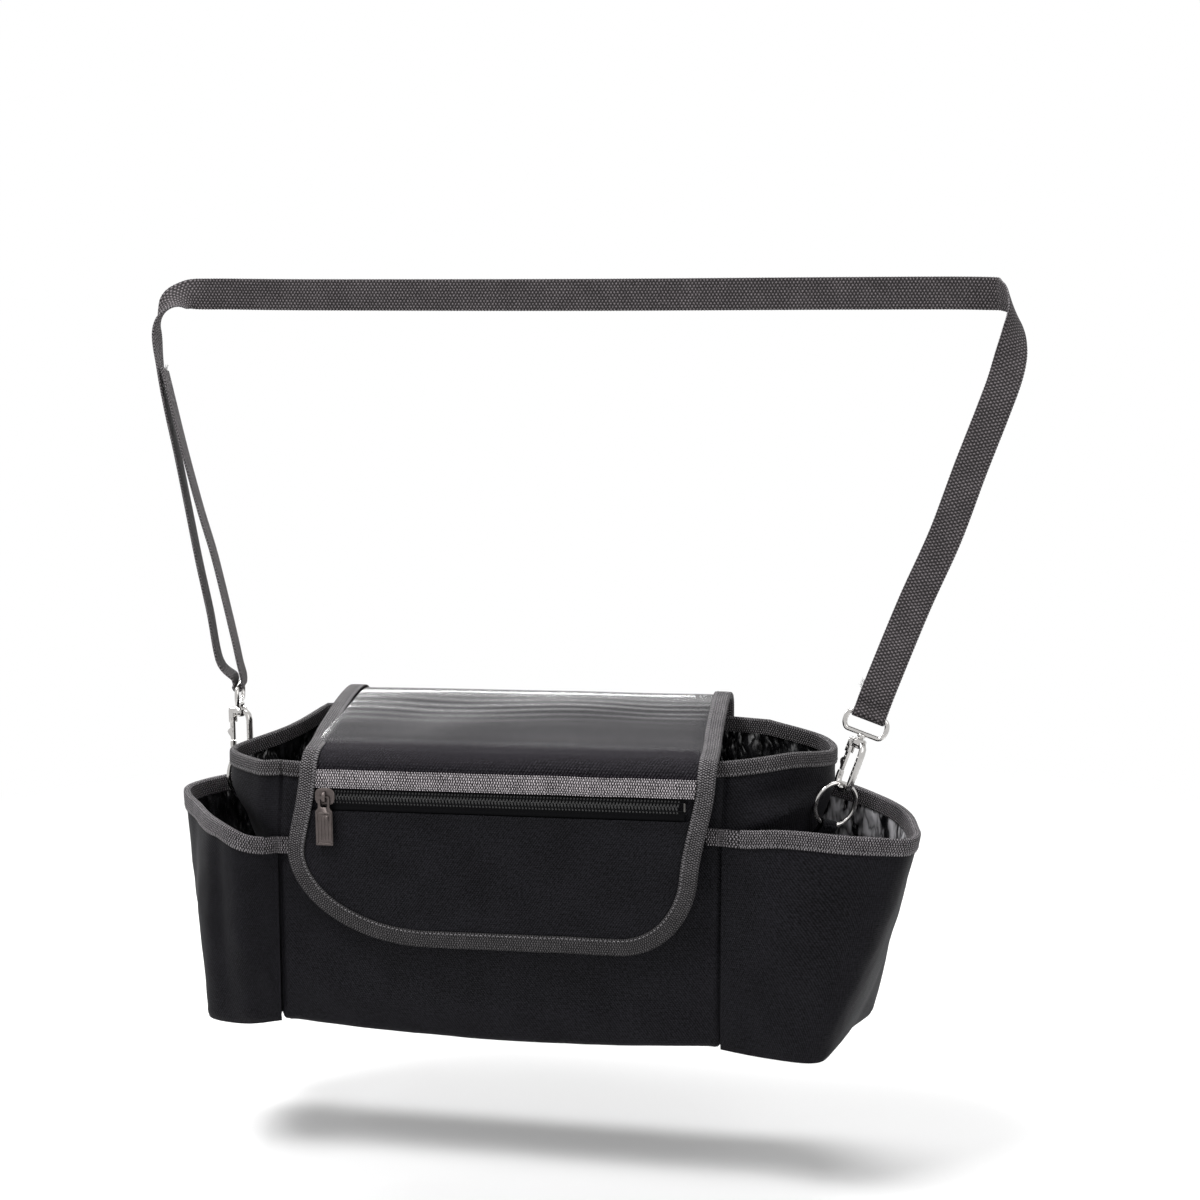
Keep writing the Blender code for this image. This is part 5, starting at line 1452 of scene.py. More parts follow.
def rounded_box(name, low, high, bevel, material, matrix, segments=3):
    """Box with rounded edges, placed by a matrix."""
    work = bmesh.new()
    bmesh.ops.create_cube(work, size=1.0)
    size = Vector(high) - Vector(low)
    bmesh.ops.scale(work, verts=work.verts, vec=size)
    bmesh.ops.translate(work, verts=work.verts, vec=(Vector(high) + Vector(low)) / 2)
    bmesh.ops.bevel(work, geom=work.edges[:], offset=bevel, segments=segments, affect="EDGES", profile=0.5)
    bmesh.ops.transform(work, matrix=matrix, verts=work.verts)
    return finish_work(name, work, material)


def finish_work(name, work, material):
    bmesh.ops.translate(work, verts=work.verts, vec=HANG)
    return show(bpy.data.meshes.new(name), work, material)


def build_stops():
    half = COIL_SLOT / 2 + COIL_HALF_WIDTH
    for name, x in (("left", ZIP_LEFT - 0.0018), ("right", ZIP_RIGHT + 0.0006)):
        low = (x, COIL_LOW + TAPE_LIFT + ZIP_TAPE + GAP, -half)
        high = (x + 0.0012, COIL_HIGH + 0.0004, half)
        item = rounded_box("zip_stop_clip_" + name, low, high, 0.00035, "stop", ZIP)
        dress(item, BAG, "zip_stop_" + name)


def lathe(name, outline, material, matrix, steps=32):
    """Turned piece about local z from a closed outline of (radius, height)."""
    verts = []
    faces = []
    size = len(outline)
    for k in range(steps):
        turn = 2 * math.pi * k / steps
        for radius, height in outline:
            verts.append(matrix @ Vector((radius * math.cos(turn), radius * math.sin(turn), height)))
    for k in range(steps):
        n = (k + 1) % steps
        for i in range(size):
            j = (i + 1) % size
            faces.append((k * size + i, k * size + j, n * size + j, n * size + i))
    return make_mesh(name, verts, faces, [(0.0, 0.0)] * len(verts), material, smooth_angle=40)


def build_slider():
    """Domed slider body with its bridge; the pull hangs on it."""
    here = ZIP @ Matrix.Translation((SLIDER_X, 0.0, 0.0))
    turn_part = here.to_3x3()
    top = UPPER_PLATE + SLIDER_PLATE
    work = bmesh.new()
    bmesh.ops.create_uvsphere(work, u_segments=28, v_segments=16, radius=1.0)
    for vert in work.verts:
        x, y, z = vert.co
        height = CROWN_UP if y > 0 else CROWN_DOWN
        vert.co = Vector((rounded(x, CROWN_SQUARE) * CROWN_WIDE, top - 0.0006 + y * height,
                          rounded(z, CROWN_SQUARE) * CROWN_HIGH))
    bmesh.ops.transform(work, matrix=here, verts=work.verts)
    pieces = [finish_work("slider_crown", work, "pewter")]
    pieces.append(rounded_box("slider_low", (-0.0047, LOWER_PLATE, -0.0042),
                              (0.0047, LOWER_PLATE + 0.0008, 0.0042), 0.0003, "pewter", here))
    pieces.append(rounded_box("slider_neck", (-0.0042, LOWER_PLATE + 0.0002, -0.0003),
                              (-0.0018, top - 0.0004, 0.0003), 0.0001, "pewter", here, 1))
    side = turn_part.col[0].copy()
    frames = []
    for k in range(15):
        turn = math.pi * k / 14
        point = Vector((0.0, top + 0.0004 + BRIDGE_RISE * math.sin(turn), -BRIDGE_REACH * math.cos(turn)))
        along = turn_part @ Vector((0.0, BRIDGE_RISE * math.cos(turn), BRIDGE_REACH * math.sin(turn)))
        frames.append((here @ point, side, side.cross(along.normalized()), 1.0))
    pieces.append(tube("slider_bridge", frames, ellipse(0.0012, 0.00055, 10), "pewter"))
    dress(join("zip_slider_body", pieces), "zip_slider", "zip_slider")
    build_pull(here @ Matrix.Translation((0.0, PULL_AXIS_OUT, 0.0)))


CROWN_WIDE = 0.0062
CROWN_HIGH = 0.0055
CROWN_UP = 0.0010
CROWN_DOWN = 0.0002
CROWN_SQUARE = 0.72
BRIDGE_RISE = 0.0027
BRIDGE_REACH = 0.0031
PULL_WIDTH = 0.0105
PULL_LENGTH = 0.0300
PULL_THICK = 0.0013
PULL_NECK = 0.0036
PULL_LOW = 0.0092
PULL_RIM = 0.0009
PULL_BAR_STEP = 0.0021


def build_pull(place):
    """Plate with an eye at the top, a raised rim and a field of low bars."""
    half = PULL_WIDTH / 2
    right = [(PULL_NECK - 0.0012 + a, 0.0005 + b) for a, b in quarter(0.0012, -90)]
    right += [(PULL_NECK, 0.0062), (PULL_NECK + 0.0004, 0.0071), (half - 0.0004, 0.0080), (half, 0.0087)]
    right += [(half - 0.0004 + a, PULL_LENGTH - 0.0011 + b) for a, b in quarter(0.0004, 0)]
    outline = right + [(-x, z) for x, z in reversed(right)]
    plate = prism("pull_plate", outline, PULL_THICK / 2, place, "pewter")
    eye = [(x, 0.0035 + z) for x, z in ellipse(0.0022, 0.0027, 20, 0.5)]
    cut_away(plate, prism("eye", eye, 0.003, place, "pewter"))
    face = PULL_THICK / 2
    high = PULL_LENGTH - 0.0014
    edge = half - 0.0010
    boxes = [(x - PULL_RIM / 2, PULL_LOW, x + PULL_RIM / 2, high, 0.0005) for x in (-edge, edge)]
    boxes += [(0.0006 - half, z, half - 0.0006, z + PULL_RIM, 0.0005) for z in (PULL_LOW, high - PULL_RIM)]
    for x in (-PULL_BAR_STEP, 0.0, PULL_BAR_STEP):
        boxes.append((x - 0.00045, PULL_LOW + 0.0024, x + 0.00045, high - 0.0026, 0.0004))
    pieces = [plate]
    for left, low, right, top, rise in boxes:
        pieces.append(rounded_box("relief", (left, face - 0.0002, low), (right, face + rise, top),
                                  0.0002, "pewter", place, 2))
    dress(join("zip_pull_plate", pieces), "zip_pull", "zip_pull")


def quarter(radius, start):
    """Quarter of a circle from a direction in degrees."""
    turns = [math.radians(a) for a in spread(start, start + 90, 4)]
    return [(radius * math.cos(a), radius * math.sin(a)) for a in turns]


def cut_away(item, cutter):
    step = item.modifiers.new("cut", "BOOLEAN")
    step.operation = "DIFFERENCE"
    step.object = cutter
    bpy.context.view_layer.update()
    graph = bpy.context.evaluated_depsgraph_get()
    done = bpy.data.meshes.new_from_object(item.evaluated_get(graph))
    item.modifiers.clear()
    item.data = done
    bpy.data.objects.remove(cutter, do_unlink=True)
    if not item.data.uv_layers:
        item.data.uv_layers.new(name="metres")


# Rings, hooks and tabs

RING_RADIUS = 0.0138
WIRE = 0.0028
TAB_WIDTH = 0.010
TAB_THICK = 0.0010
LOOP_WIDTH = 0.0285
LOOP_HEIGHT = 0.0147
LOOP_WIRE = 0.0030
LOOP_END = 0.0036
LOOP_UP = 0.0090
HOOK_BAR = 0.0030
HOOK_THICK = 0.0042
EYE_HALF = 0.0055
EYE_PLAY = 0.0010
EYE_DROP = 0.0265
GATE_THICK = 0.0018
GATE_TOP = 0.0090
BEAD_PITCH = 0.0030
CONTACT = {"left": Vector((-0.1850, 0.0720, 0.1525)), "right": Vector((0.2031, 0.0476, 0.1535))}
PULL_WAY = {"left": Vector((0.010, -0.060, 1.0)).normalized(),
            "right": Vector((0.330, 0.030, 0.944)).normalized()}
RING_WAY = {"left": Vector((0.34, 0.94, 0.0)).normalized(), "right": Vector((0.84, 0.54, 0.0)).normalized()}
TAB_PLACE = {"left": 0.62, "right": 0.46}
STRAP_WAY = {"left": Vector((-0.20, 0.98, 0.0)).normalized(),
             "right": Vector((0.944, 0.0, -0.330)).normalized()}


def square_frame(origin, up, side):
    x = (side - up * side.dot(up)).normalized()
    y = up.cross(x)
    rot = Matrix((x, y, up)).transposed().to_4x4()
    return Matrix.Translation(origin) @ rot


def ring_frame(side):
    up = PULL_WAY[side]
    return square_frame(CONTACT[side] - up * (2 * RING_RADIUS), up, RING_WAY[side])


def hook_frame(side):
    up = PULL_WAY[side]
    drop = EYE_DROP + EYE_HALF - EYE_PLAY - WIRE / 2
    return square_frame(CONTACT[side] + up * drop, up, RING_WAY[side].cross(up))


def round_section(radius, sides=16):
    return ellipse(radius, radius, sides)


def build_ring(side):
    place = ring_frame(side)
    turn_part = place.to_3x3()
    frames = []
    for i in range(72):
        turn = 2 * math.pi * i / 72
        out = Vector((math.sin(turn), 0.0, -math.cos(turn)))
        point = place @ (out * RING_RADIUS + Vector((0, 0, RING_RADIUS)))
        frames.append((point, turn_part @ out, turn_part @ Vector((0, 1, 0)), 1.0))
    item = tube("ring_wire_" + side, frames, round_section(WIRE / 2), "nickel", closed=True)
    dress(item, "ring_" + side, "ring_" + side)


def build_hook_loop(side):
    """Oval loop of wire with a flattened boss, its stud and its riveted head."""
    up = hook_frame(side).to_3x3().col[2].copy()
    place = square_frame(hook_frame(side).translation, up, STRAP_WAY[side])
    turn_part = place.to_3x3()
    wide = LOOP_WIDTH / 2 - LOOP_WIRE / 2
    tall = LOOP_HEIGHT / 2 - LOOP_WIRE / 2
    frames = []
    for sign in (1.0, -1.0):
        for i in range(25):
            turn = sign * math.pi / 2 - math.pi * i / 24
            x = sign * (wide - LOOP_END) + LOOP_END * math.cos(turn)
            out = Vector((math.cos(turn) / LOOP_END, 0.0, math.sin(turn) / tall)).normalized()
            point = place @ Vector((x, 0.0, tall * math.sin(turn) + LOOP_UP))
            frames.append((point, turn_part @ out, turn_part @ Vector((0, 1, 0)), 1.0))
    wire = tube("loop_wire", frames, round_section(LOOP_WIRE / 2), "nickel", closed=True)
    reach = LOOP_UP - LOOP_HEIGHT / 2
    outline = [(0.0, -0.0062), (0.0024, -0.0062), (0.0027, -0.0058), (0.0027, -0.0050), (0.0016, -0.0048),
               (0.0016, reach - 0.0014), (0.0024, reach - 0.0010), (0.0027, reach), (0.0024, reach + 0.0010),
               (0.0015, reach + 0.0016), (0.0, reach + 0.0016)]
    stud = lathe("loop_stud", outline, "nickel", place)
    dress(join("hook_loop_wire_" + side, [wire, stud]), BAG, "hook_loop_" + side)


def build_hook(side):
    """Cast snap hook: collar, wide spine, round bend and tip, with a shoulder for the gate."""
    place = hook_frame(side)
    turn_part = place.to_3x3()
    line = EYE_HALF + HOOK_BAR / 2
    path = [(0.0016, -0.0022), (line - 0.0030, -0.0030), (line - 0.0008, -0.0050), (line, -0.0085)]
    path += [(line, lerp(-0.0085, -EYE_DROP, k / 8)) for k in range(1, 8)]
    for i in range(25):
        turn = math.pi * i / 24
        path.append((line * math.cos(turn), -EYE_DROP - line * math.sin(turn)))
    path += [(-line, -EYE_DROP + 0.0015), (-line, -EYE_DROP + 0.0029)]
    frames = []
    last = len(path) - 1
    for i, (x, z) in enumerate(path):
        before = path[max(i - 1, 0)]
        after = path[min(i + 1, last)]
        along = Vector((after[0] - before[0], 0.0, after[1] - before[1])).normalized()
        wide = Vector((0, 1, 0))
        scale = 1.0 if i < last else 0.86
        frames.append((place @ Vector((x, 0.0, z)), turn_part @ wide, turn_part @ along.cross(wide), scale))
    thick = HOOK_THICK / 2
    half = HOOK_BAR / 2
    section = ellipse(thick, half, 16, 0.62)
    pieces = [tube("hook_bar", frames, section, "nickel")]
    collar = [(0.0019, -0.0044), (0.0036, -0.0044), (0.0043, -0.0036), (0.0043, -0.0014), (0.0036, -0.0006),
              (0.0019, -0.0006)]
    pieces.append(lathe("collar", collar, "nickel", place))
    for sign in (-1.0, 1.0):
        near = sign * (GATE_THICK / 2 + GAP)
        far = sign * (thick + 0.0001)
        low = (-line - half, min(near, far), -GATE_TOP - 0.0024)
        high = (-line + half + 0.0008, max(near, far), -0.0030)
        pieces.append(rounded_box("cheek", low, high, 0.0004, "nickel", place))
    pieces.append(rounded_box("arm", (-line - half, -thick, -0.0048), (-0.0016, thick, -0.0018),
                              0.0006, "nickel", place))
    dome = [(0.0, 0.0), (0.00075, 0.0), (0.00060, 0.00035), (0.00025, 0.00052), (0.0, 0.00055)]
    pieces += beads(dome, line, thick - 0.00012, -0.0105, 5, place)
    dress(join("hook_casting_" + side, pieces), "hook_" + side, "hook_body_" + side)
    build_gate(side, place, line, half)


def beads(dome, x, reach, first, count, matrix):
    """Row of small domes on both faces of a cast piece."""
    pieces = []
    for k in range(count):
        for sign in (-1.0, 1.0):
            middle = Vector((x, sign * reach, first - BEAD_PITCH * k))
            spot = square_frame(middle, Vector((0.0, sign, 0.0)), Vector((1.0, 0.0, 0.0)))
            pieces.append(lathe("bead", dome, "nickel", matrix @ spot, 12))
    return pieces


def build_gate(side, place, line, half):
    """Trigger: a bar that narrows to its tip, with a row of beads and a thumb knob."""
    pivot = place @ Matrix.Translation((-line, 0.0, -GATE_TOP))
    low = GATE_TOP + GAP + 0.0030 - EYE_DROP
    thick = GATE_THICK / 2
    outline = [(-half + 0.0001, 0.0010), (half - 0.0002, 0.0010), (half - 0.0002, low * 0.5),
               (half - 0.0003, low), (-half + 0.0004, low), (-half - 0.0001, low + 0.0022),
               (-half - 0.0016, low + 0.0036), (-half - 0.0024, low + 0.0052),
               (-half - 0.0016, low + 0.0066), (-half + 0.0001, low + 0.0078)]
    pieces = [prism("gate_plate", outline, thick, pivot, "nickel", 30)]
    dome = [(0.0, 0.0), (0.0007, 0.0), (0.00055, 0.00035), (0.0, 0.0005)]
    pieces += beads(dome, 0.0, thick - 0.0001, -0.0026, 3, pivot)
    dress(join("hook_trigger_" + side, pieces), "gate_" + side, "hook_gate_" + side)
    end = HOOK_THICK / 2
    rivet = [(0.0, -end - 0.0004), (0.0011, -end - 0.0002), (0.0008, -end + 0.0002),
             (0.0008, end - 0.0002), (0.0011, end + 0.0002), (0.0, end + 0.0004)]
    way = square_frame(Vector((0.0, 0.0, 0.0)), Vector((0.0, 1.0, 0.0)), Vector((1.0, 0.0, 0.0)))
    item = lathe("hook_rivet_" + side, rivet, "nickel", pivot @ way, 20)
    dress(item, "hook_" + side, "hook_pin_" + side)


def build_tab(side):
    """Ribbon folded over the ring's lower wire, sewn to the end wall."""
    frame_here = ring_frame(side)
    wire = frame_here.translation
    place = TAB_PLACE[side]
    rim = side_wall_point(side, place, 1.0).z

    def wall_at(height):
        t = height / rim
        index = 10 + place * 10 if side == "right" else 40 - place * 10
        point = soft_body(index, t)
        ahead = soft_body(index + 0.1, t) - soft_body(index - 0.1, t)
        rise = soft_body(index, t + 0.02) - soft_body(index, t - 0.02)
        normal = ahead.cross(rise).normalized()
        if normal.x * point.x < 0:
            normal = -normal
        return point, normal, ahead.normalized()

    half = TAB_THICK / 2
    across, out, top = (frame_here.to_3x3().col[i].copy() for i in range(3))
    radius = WIRE / 2 + GAP + half
    low_point, low_normal, low_along = wall_at(wire.z - 0.030)
    high_point, high_normal, high_along = wall_at(wire.z - 0.017)
    if out.dot(high_normal) < 0:
        out = -out
    if across.dot(high_along) < 0:
        across = -across
    crest = wire + top * 0.0010
    near = GAP * 3 + half
    far = near + TAB_THICK + GAP * 2
    path = [(low_point + low_normal * near, low_along), (high_point + high_normal * near, high_along),
            (crest - out * radius - top * 0.003, across)]
    for i in range(9):
        turn = math.pi * i / 8
        path.append((crest - out * (radius * math.cos(turn)) + top * (radius * math.sin(turn)), across))
    path += [(crest + out * radius - top * 0.003, across), (high_point + high_normal * far, high_along),
             (low_point + low_normal * far, low_along)]
    flat = [tuple(p) + tuple(w) for p, w in path]
    frames = []
    for k in range(90):
        value = curve_at(flat, k / 89)
        ahead = curve_at(flat, min(k / 89 + 0.004, 1.0))
        behind = curve_at(flat, max(k / 89 - 0.004, 0.0))
        along = (Vector(ahead[:3]) - Vector(behind[:3])).normalized()
        wide = Vector(value[3:])
        wide = (wide - along * wide.dot(along)).normalized()
        frames.append((Vector(value[:3]), wide, along.cross(wide), 1.0))
    section = webbing_section(TAB_WIDTH, TAB_THICK, 6)
    item = tube("ring_tab_ribbon_" + side, frames, section, "cloth", smooth_angle=70)
    dress(item, BAG, "ring_tab_" + side)


def webbing_section(width, thick, count):
    """Flat strip with rounded selvedges, side along the width and up through the thickness."""
    half = width / 2 - thick / 2
    points = [(lerp(-half, half, i / count), -thick / 2) for i in range(count + 1)]
    for k in (-60, -30, 0, 30, 60):
        turn = math.radians(k)
        points.append((half + thick / 2 * math.cos(turn), thick / 2 * math.sin(turn)))
    points += [(lerp(half, -half, i / count), thick / 2) for i in range(count + 1)]
    for k in (120, 150, 180, 210, 240):
        turn = math.radians(k)
        points.append((-half + thick / 2 * math.cos(turn), thick / 2 * math.sin(turn)))
    return points


# Strap, its route as in the part

WEBBING_WIDTH = 0.020
WEBBING = 0.0014
SEWN_FOLD = 0.018
RIGHT_RUN = [(0.2422, 0.0620, 0.2607), (0.2593, 0.0680, 0.3012), (0.2729, 0.0750, 0.3407),
             (0.2855, 0.0820, 0.3754), (0.2925, 0.0880, 0.3965)]
RIGHT_WRAP = [(0.2965, 0.0950, 0.4170), (0.2965, 0.1060, 0.4330), (0.2900, 0.1200, 0.4425),
              (0.2760, 0.1300, 0.4445)]
LEVEL_RUN = [(0.2000, 0.1300, 0.4445), (0.0260, 0.1300, 0.4435), (-0.1480, 0.1300, 0.4435),
             (-0.2180, 0.1300, 0.4440)]
LEFT_WRAP = [(-0.2370, 0.1260, 0.4430), (-0.2455, 0.1160, 0.4350), (-0.2483, 0.1060, 0.4200)]
LEFT_DOWN = [(-0.2450, 0.1010, 0.3960), (-0.2386, 0.0960, 0.3699), (-0.2311, 0.0920, 0.3412),
             (-0.2226, 0.0870, 0.3062), (-0.2142, 0.0805, 0.2747), (-0.2053, 0.0745, 0.2433),
             (-0.1968, 0.0675, 0.2122)]
LEFT_UP = [(-0.1837, 0.0685, 0.2112), (-0.1884, 0.0715, 0.2281), (-0.1979, 0.0775, 0.2593),
           (-0.2049, 0.0815, 0.2813), (-0.2150, 0.0870, 0.3080), (-0.2265, 0.0920, 0.3445),
           (-0.2350, 0.0960, 0.3740), (-0.2415, 0.0995, 0.3960)]


def loop_bar(side):
    place = hook_frame(side)
    up = place.to_3x3().col[2].copy()
    return place.translation + up * (LOOP_UP + LOOP_HEIGHT / 2 - LOOP_WIRE / 2), up


def right_end():
    """Bar of the right loop, with the ways up the strap, across it and out of its back."""
    bar, up = loop_bar("right")
    wide = (STRAP_WAY["right"] - up * STRAP_WAY["right"].dot(up)).normalized()
    back = up.cross(wide).normalized()
    if back.y < 0:
        back = -back
    return bar, up, wide, back


def turn_about_bar(bar, up, away, radius, steps):
    turns = [math.pi * i / steps for i in range(steps + 1)]
    return [bar + away * (radius * math.cos(a)) - up * (radius * math.sin(a)) for a in turns]


def strap_path():
    """Middle line of the webbing with the direction of its width at each point."""
    radius = LOOP_WIRE / 2 + GAP * 2 + WEBBING / 2
    path = []
    bar, up, wide, back = right_end()
    layer = WEBBING + GAP
    for rise in (SEWN_FOLD, SEWN_FOLD * 0.55, 0.0050):
        path.append((bar + up * rise + back * (layer / 2), wide))
    for point in turn_about_bar(bar, up, back, radius, 8):
        path.append((point, wide))
    path.append((bar + up * 0.0050 - back * (layer / 2), wide))
    path.append((bar + up * SEWN_FOLD - back * (layer / 2), wide))
    for point in RIGHT_RUN:
        path.append((Vector(point), wide))
    twist = [Vector((0.75, 0.45, -0.50)), Vector((0.35, 0.75, -0.60)),
             Vector((0.10, 0.45, -0.90)), Vector((0, 0, -1))]
    for point, side in zip(RIGHT_WRAP, twist):
        path.append((Vector(point), side.normalized()))
    for point in LEVEL_RUN:
        path.append((Vector(point), Vector((0, 0, -1))))
    twist = [Vector((0.10, -0.45, -0.90)), Vector((0.20, -0.85, -0.50)), Vector((0.10, -0.97, -0.25))]
    for point, side in zip(LEFT_WRAP, twist):
        path.append((Vector(point), side.normalized()))
    flat = Vector((0.20, -0.98, 0.0))
    for point in LEFT_DOWN:
        path.append((Vector(point), flat))
    bar, up = loop_bar("left")
    rise = up * (radius * 1.6)
    level = (flat - up * flat.dot(up)).normalized()
    away = level.cross(up)
    path.append((bar + away * radius + rise, level))
    for point in turn_about_bar(bar, up, away, radius, 8):
        path.append((point, level))
    path.append((bar - away * radius + rise, level))
    for point in LEFT_UP:
        path.append((Vector(point), flat))
    return path


def strap_frames():
    path = strap_path()
    last = len(path) - 1
    places = []
    for i in range(last):
        pieces = max(2, round((path[i + 1][0] - path[i][0]).length / 0.0022))
        for k in range(pieces):
            places.append((i + k / pieces) / last)
    places.append(1.0)
    flat = [tuple(p) + tuple(w) for p, w in path]
    values = [curve_at(flat, u) for u in places]
    points = [Vector(v[:3]) for v in values]
    frames = []
    end = len(points) - 1
    for i, value in enumerate(values):
        along = (points[min(i + 1, end)] - points[max(i - 1, 0)]).normalized()
        wide = Vector(value[3:])
        wide = (wide - along * wide.dot(along)).normalized()
        frames.append((points[i], wide, along.cross(wide).normalized(), 1.0))
    return frames


def build_strap():
    frames = strap_frames()
    item = tube("strap_band", frames, webbing_section(WEBBING_WIDTH, WEBBING, 12), "webbing", smooth_angle=70)
    dress(item, BAG, "strap_webbing")
    build_strap_edges(frames)
    build_strap_sewing()


def build_strap_edges(frames):
    """Beaded selvedges: small loops of weft where it turns back at each edge."""
    places = []
    for sign in (-1.0, 1.0):
        points = [p + wide * (sign * (WEBBING_WIDTH / 2 - 0.0001)) for p, wide, _, _ in frames]
        normals = [wide * sign for _, wide, _, _ in frames]
        places += along_path(points, normals, 0.0020)
    dress(stitches("strap_selvedges", places, 0.0014, 0.00095), BAG)


def build_strap_sewing():
    """Sewn lines across the turned-back right end, and the frayed threads at the cut ends."""
    bar, up, wide, back = right_end()
    face = (WEBBING + GAP) / 2 + WEBBING / 2 + 0.0001
    places = []
    for height in (SEWN_FOLD - 0.0030, SEWN_FOLD - 0.0052):
        for k in range(8):
            across = lerp(-0.0085, 0.0085, k / 7)
            for sign in (-1.0, 1.0):
                places.append((bar + up * height + wide * across + back * (sign * face), wide, back * sign))
    dress(stitches("strap_sewing_right", places, 0.0019, 0.0006), BAG)
    fibres = []
    for k in range(26):
        across = lerp(-0.0098, 0.0098, k / 25) + random.uniform(-0.0003, 0.0003)
        root = bar + up * (SEWN_FOLD - 0.0004) + wide * across + back * ((WEBBING + GAP) / 2)
        lean = wide * random.uniform(-0.6, 0.6) + back * random.uniform(-0.2, 0.7) + up
        fibres.append(fibre(root, lean.normalized(), random.uniform(0.0015, 0.0042)))
    for k in range(9):
        root = bar + up * (SEWN_FOLD - 0.0006 * k) - wide * 0.0098 + back * ((WEBBING + GAP) / 2)
        lean = -wide + up * random.uniform(0.1, 1.2) + back * random.uniform(-0.4, 0.4)
        fibres.append(fibre(root, lean.normalized(), random.uniform(0.0015, 0.0035)))
    dress(join("strap_fray_right", fibres), BAG)
    point, wide_left = strap_path()[-1]
    up_left = (strap_path()[-1][0] - strap_path()[-2][0]).normalized()
    out_left = wide_left.cross(up_left).normalized()
    fibres = []
    for k in range(22):
        across = lerp(-0.0096, 0.0096, k / 21)
        root = point + wide_left * across - up_left * 0.0004
        lean = up_left + wide_left * random.uniform(-0.6, 0.6) + out_left * random.uniform(-0.5, 0.5)
        fibres.append(fibre(root, lean.normalized(), random.uniform(0.0012, 0.0036)))
    dress(join("strap_fray_left", fibres), BAG)


def fibre(root, way, length):
    """One loose thread that bends over as it leaves its root."""
    side = way.orthogonal().normalized()
    other = way.cross(side)
    bend = side * random.uniform(-0.6, 0.6) + other * random.uniform(-0.6, 0.6)
    frames = []
    for k in range(5):
        t = k / 4
        point = root + way * (length * t) + bend * (length * t * t * 0.5)
        frames.append((point, side, other, 1.0 - 0.5 * t))
    return tube("fibre", frames, round_section(0.00013, 5), "thread")


# Stage, lights and camera

FLOOR_DROP = 0.085
FLOOR_GLOW = 0.30
WORLD_GLOW = 0.42
CAMERA_PLACE = Vector((0.26106, -1.31914, 0.00071))
CAMERA_PITCH = 81.66
CAMERA_YAW = 10.65
LENS = 63.0


def build_stage():
    """Pale floor that sweeps up into a pale back wall and fades to plain white away from the bag."""
    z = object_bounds()[0].z - FLOOR_DROP
    profile = [(-3.0, z), (1.2, z)]
    for k in range(1, 13):
        turn = math.pi / 2 * k / 12
        profile.append((1.2 + 0.8 * math.sin(turn), z + 0.8 * (1 - math.cos(turn))))
    profile.append((2.0, z + 3.5))
    count = len(profile)
    mesh = bpy.data.meshes.new("studio_floor")
    mesh.from_pydata([(x, y, h) for x in (-3.5, 3.5) for y, h in profile], [],
                     [(i, i + 1, i + 1 + count, i + count) for i in range(count - 1)])
    mesh.shade_smooth()
    n = Nodes("studio_floor")
    n.set(Base_Color=rgb(0.90, 0.90, 0.90), Roughness=1.0, Specular_IOR_Level=0.0)
    distance = n.add("ShaderNodeVectorMath", operation="DISTANCE")
    n.link(n.position(), distance.inputs[0])
    distance.inputs[1].default_value = (0.0, 0.1, z)
    white = n.add("ShaderNodeEmission")
    white.inputs["Color"].default_value = rgb(1.0, 1.0, 1.0)
    white_where_seen(n.tree, FLOOR_GLOW, white.inputs["Strength"])
    blend = n.add("ShaderNodeMixShader")
    n.link(n.ramp(distance.outputs["Value"], 0.40, 1.00, 0.0, 1.0), blend.inputs["Fac"])
    n.link(n.shader.outputs["BSDF"], blend.inputs[1])
    n.link(white.outputs["Emission"], blend.inputs[2])
    n.link(blend.outputs["Shader"], n.tree.nodes["Material Output"].inputs["Surface"])
    mesh.materials.append(n.material)
    add_object("studio_floor", mesh)


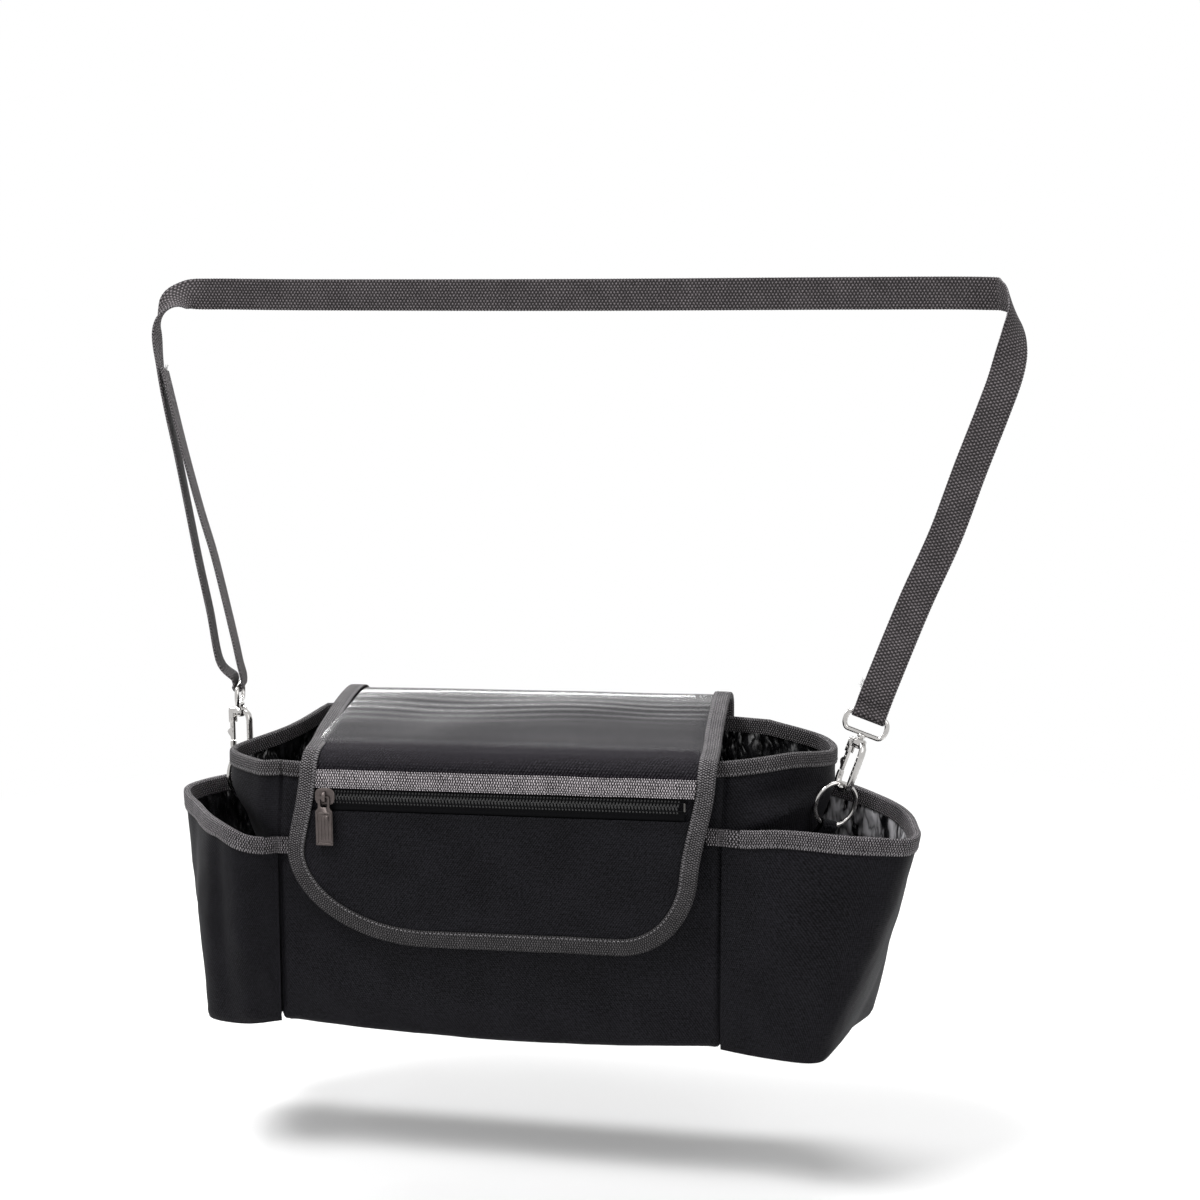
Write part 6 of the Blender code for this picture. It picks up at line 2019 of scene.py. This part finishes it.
def white_where_seen(tree, plain, socket):
    """Sets a strength to 1 where the background is seen, also in gloss and through clear film."""
    path = tree.nodes.new("ShaderNodeLightPath")
    seen = path.outputs["Is Camera Ray"]
    for ray in ("Is Glossy Ray", "Is Transmission Ray"):
        either = tree.nodes.new("ShaderNodeMath")
        either.operation = "MAXIMUM"
        tree.links.new(seen, either.inputs[0])
        tree.links.new(path.outputs[ray], either.inputs[1])
        seen = either.outputs["Value"]
    strength = tree.nodes.new("ShaderNodeMapRange")
    strength.inputs["To Min"].default_value = plain
    strength.inputs["To Max"].default_value = 1.0
    tree.links.new(seen, strength.inputs["Value"])
    tree.links.new(strength.outputs["Result"], socket)


def area_light(name, place, target, size, power):
    data = bpy.data.lights.new(name, "AREA")
    data.shape = "RECTANGLE"
    data.size = size[0]
    data.size_y = size[1]
    data.energy = power
    item = bpy.data.objects.new(name, data)
    item.location = place
    item.rotation_euler = (Vector(target) - Vector(place)).to_track_quat("-Z", "Y").to_euler()
    item.visible_camera = False
    bpy.context.scene.collection.objects.link(item)


def build_lights():
    """Key and fill from the front, one light over the top, two low ones behind for the film."""
    middle = (0.0, -0.07, -0.25)
    area_light("key_light", (-0.8, -0.9, 1.7), middle, (1.0, 0.8), 44.0)
    area_light("fill_light", (1.6, -1.2, 0.6), middle, (1.2, 1.2), 9.0)
    area_light("top_light", (-0.1, 0.45, 1.55), middle, (1.8, 0.5), 26.0)
    area_light("line_light", (-0.85, 1.20, 0.270), middle, (1.6, 0.060), 8.0)
    area_light("band_light", (-0.55, 1.20, 0.425), middle, (2.2, 0.24), 2.2)
    world = bpy.data.worlds.new("studio")
    bpy.context.scene.world = world
    world.use_nodes = True
    shade = world.node_tree.nodes["Background"]
    shade.inputs["Color"].default_value = rgb(1.0, 1.0, 1.0)
    white_where_seen(world.node_tree, WORLD_GLOW, shade.inputs["Strength"])


def build_camera():
    data = bpy.data.cameras.new("camera")
    data.lens = LENS
    data.sensor_width = 36.0
    data.clip_start = 0.05
    data.clip_end = 30.0
    item = bpy.data.objects.new("camera", data)
    item.location = CAMERA_PLACE
    item.rotation_euler = (math.radians(CAMERA_PITCH), 0.0, math.radians(CAMERA_YAW))
    bpy.context.scene.collection.objects.link(item)
    bpy.context.scene.camera = item


build_camera()
build_strap()
build_walls()
build_lining()
build_base()
build_dividers()
build_main_binding()
for end in ("left", "right"):
    build_pocket(end)
    build_ring(end)
    build_tab(end)
    build_hook_loop(end)
    build_hook(end)
build_flap()
build_slider()
build_stage()
build_lights()
bpy.context.scene.view_settings.view_transform = "Standard"
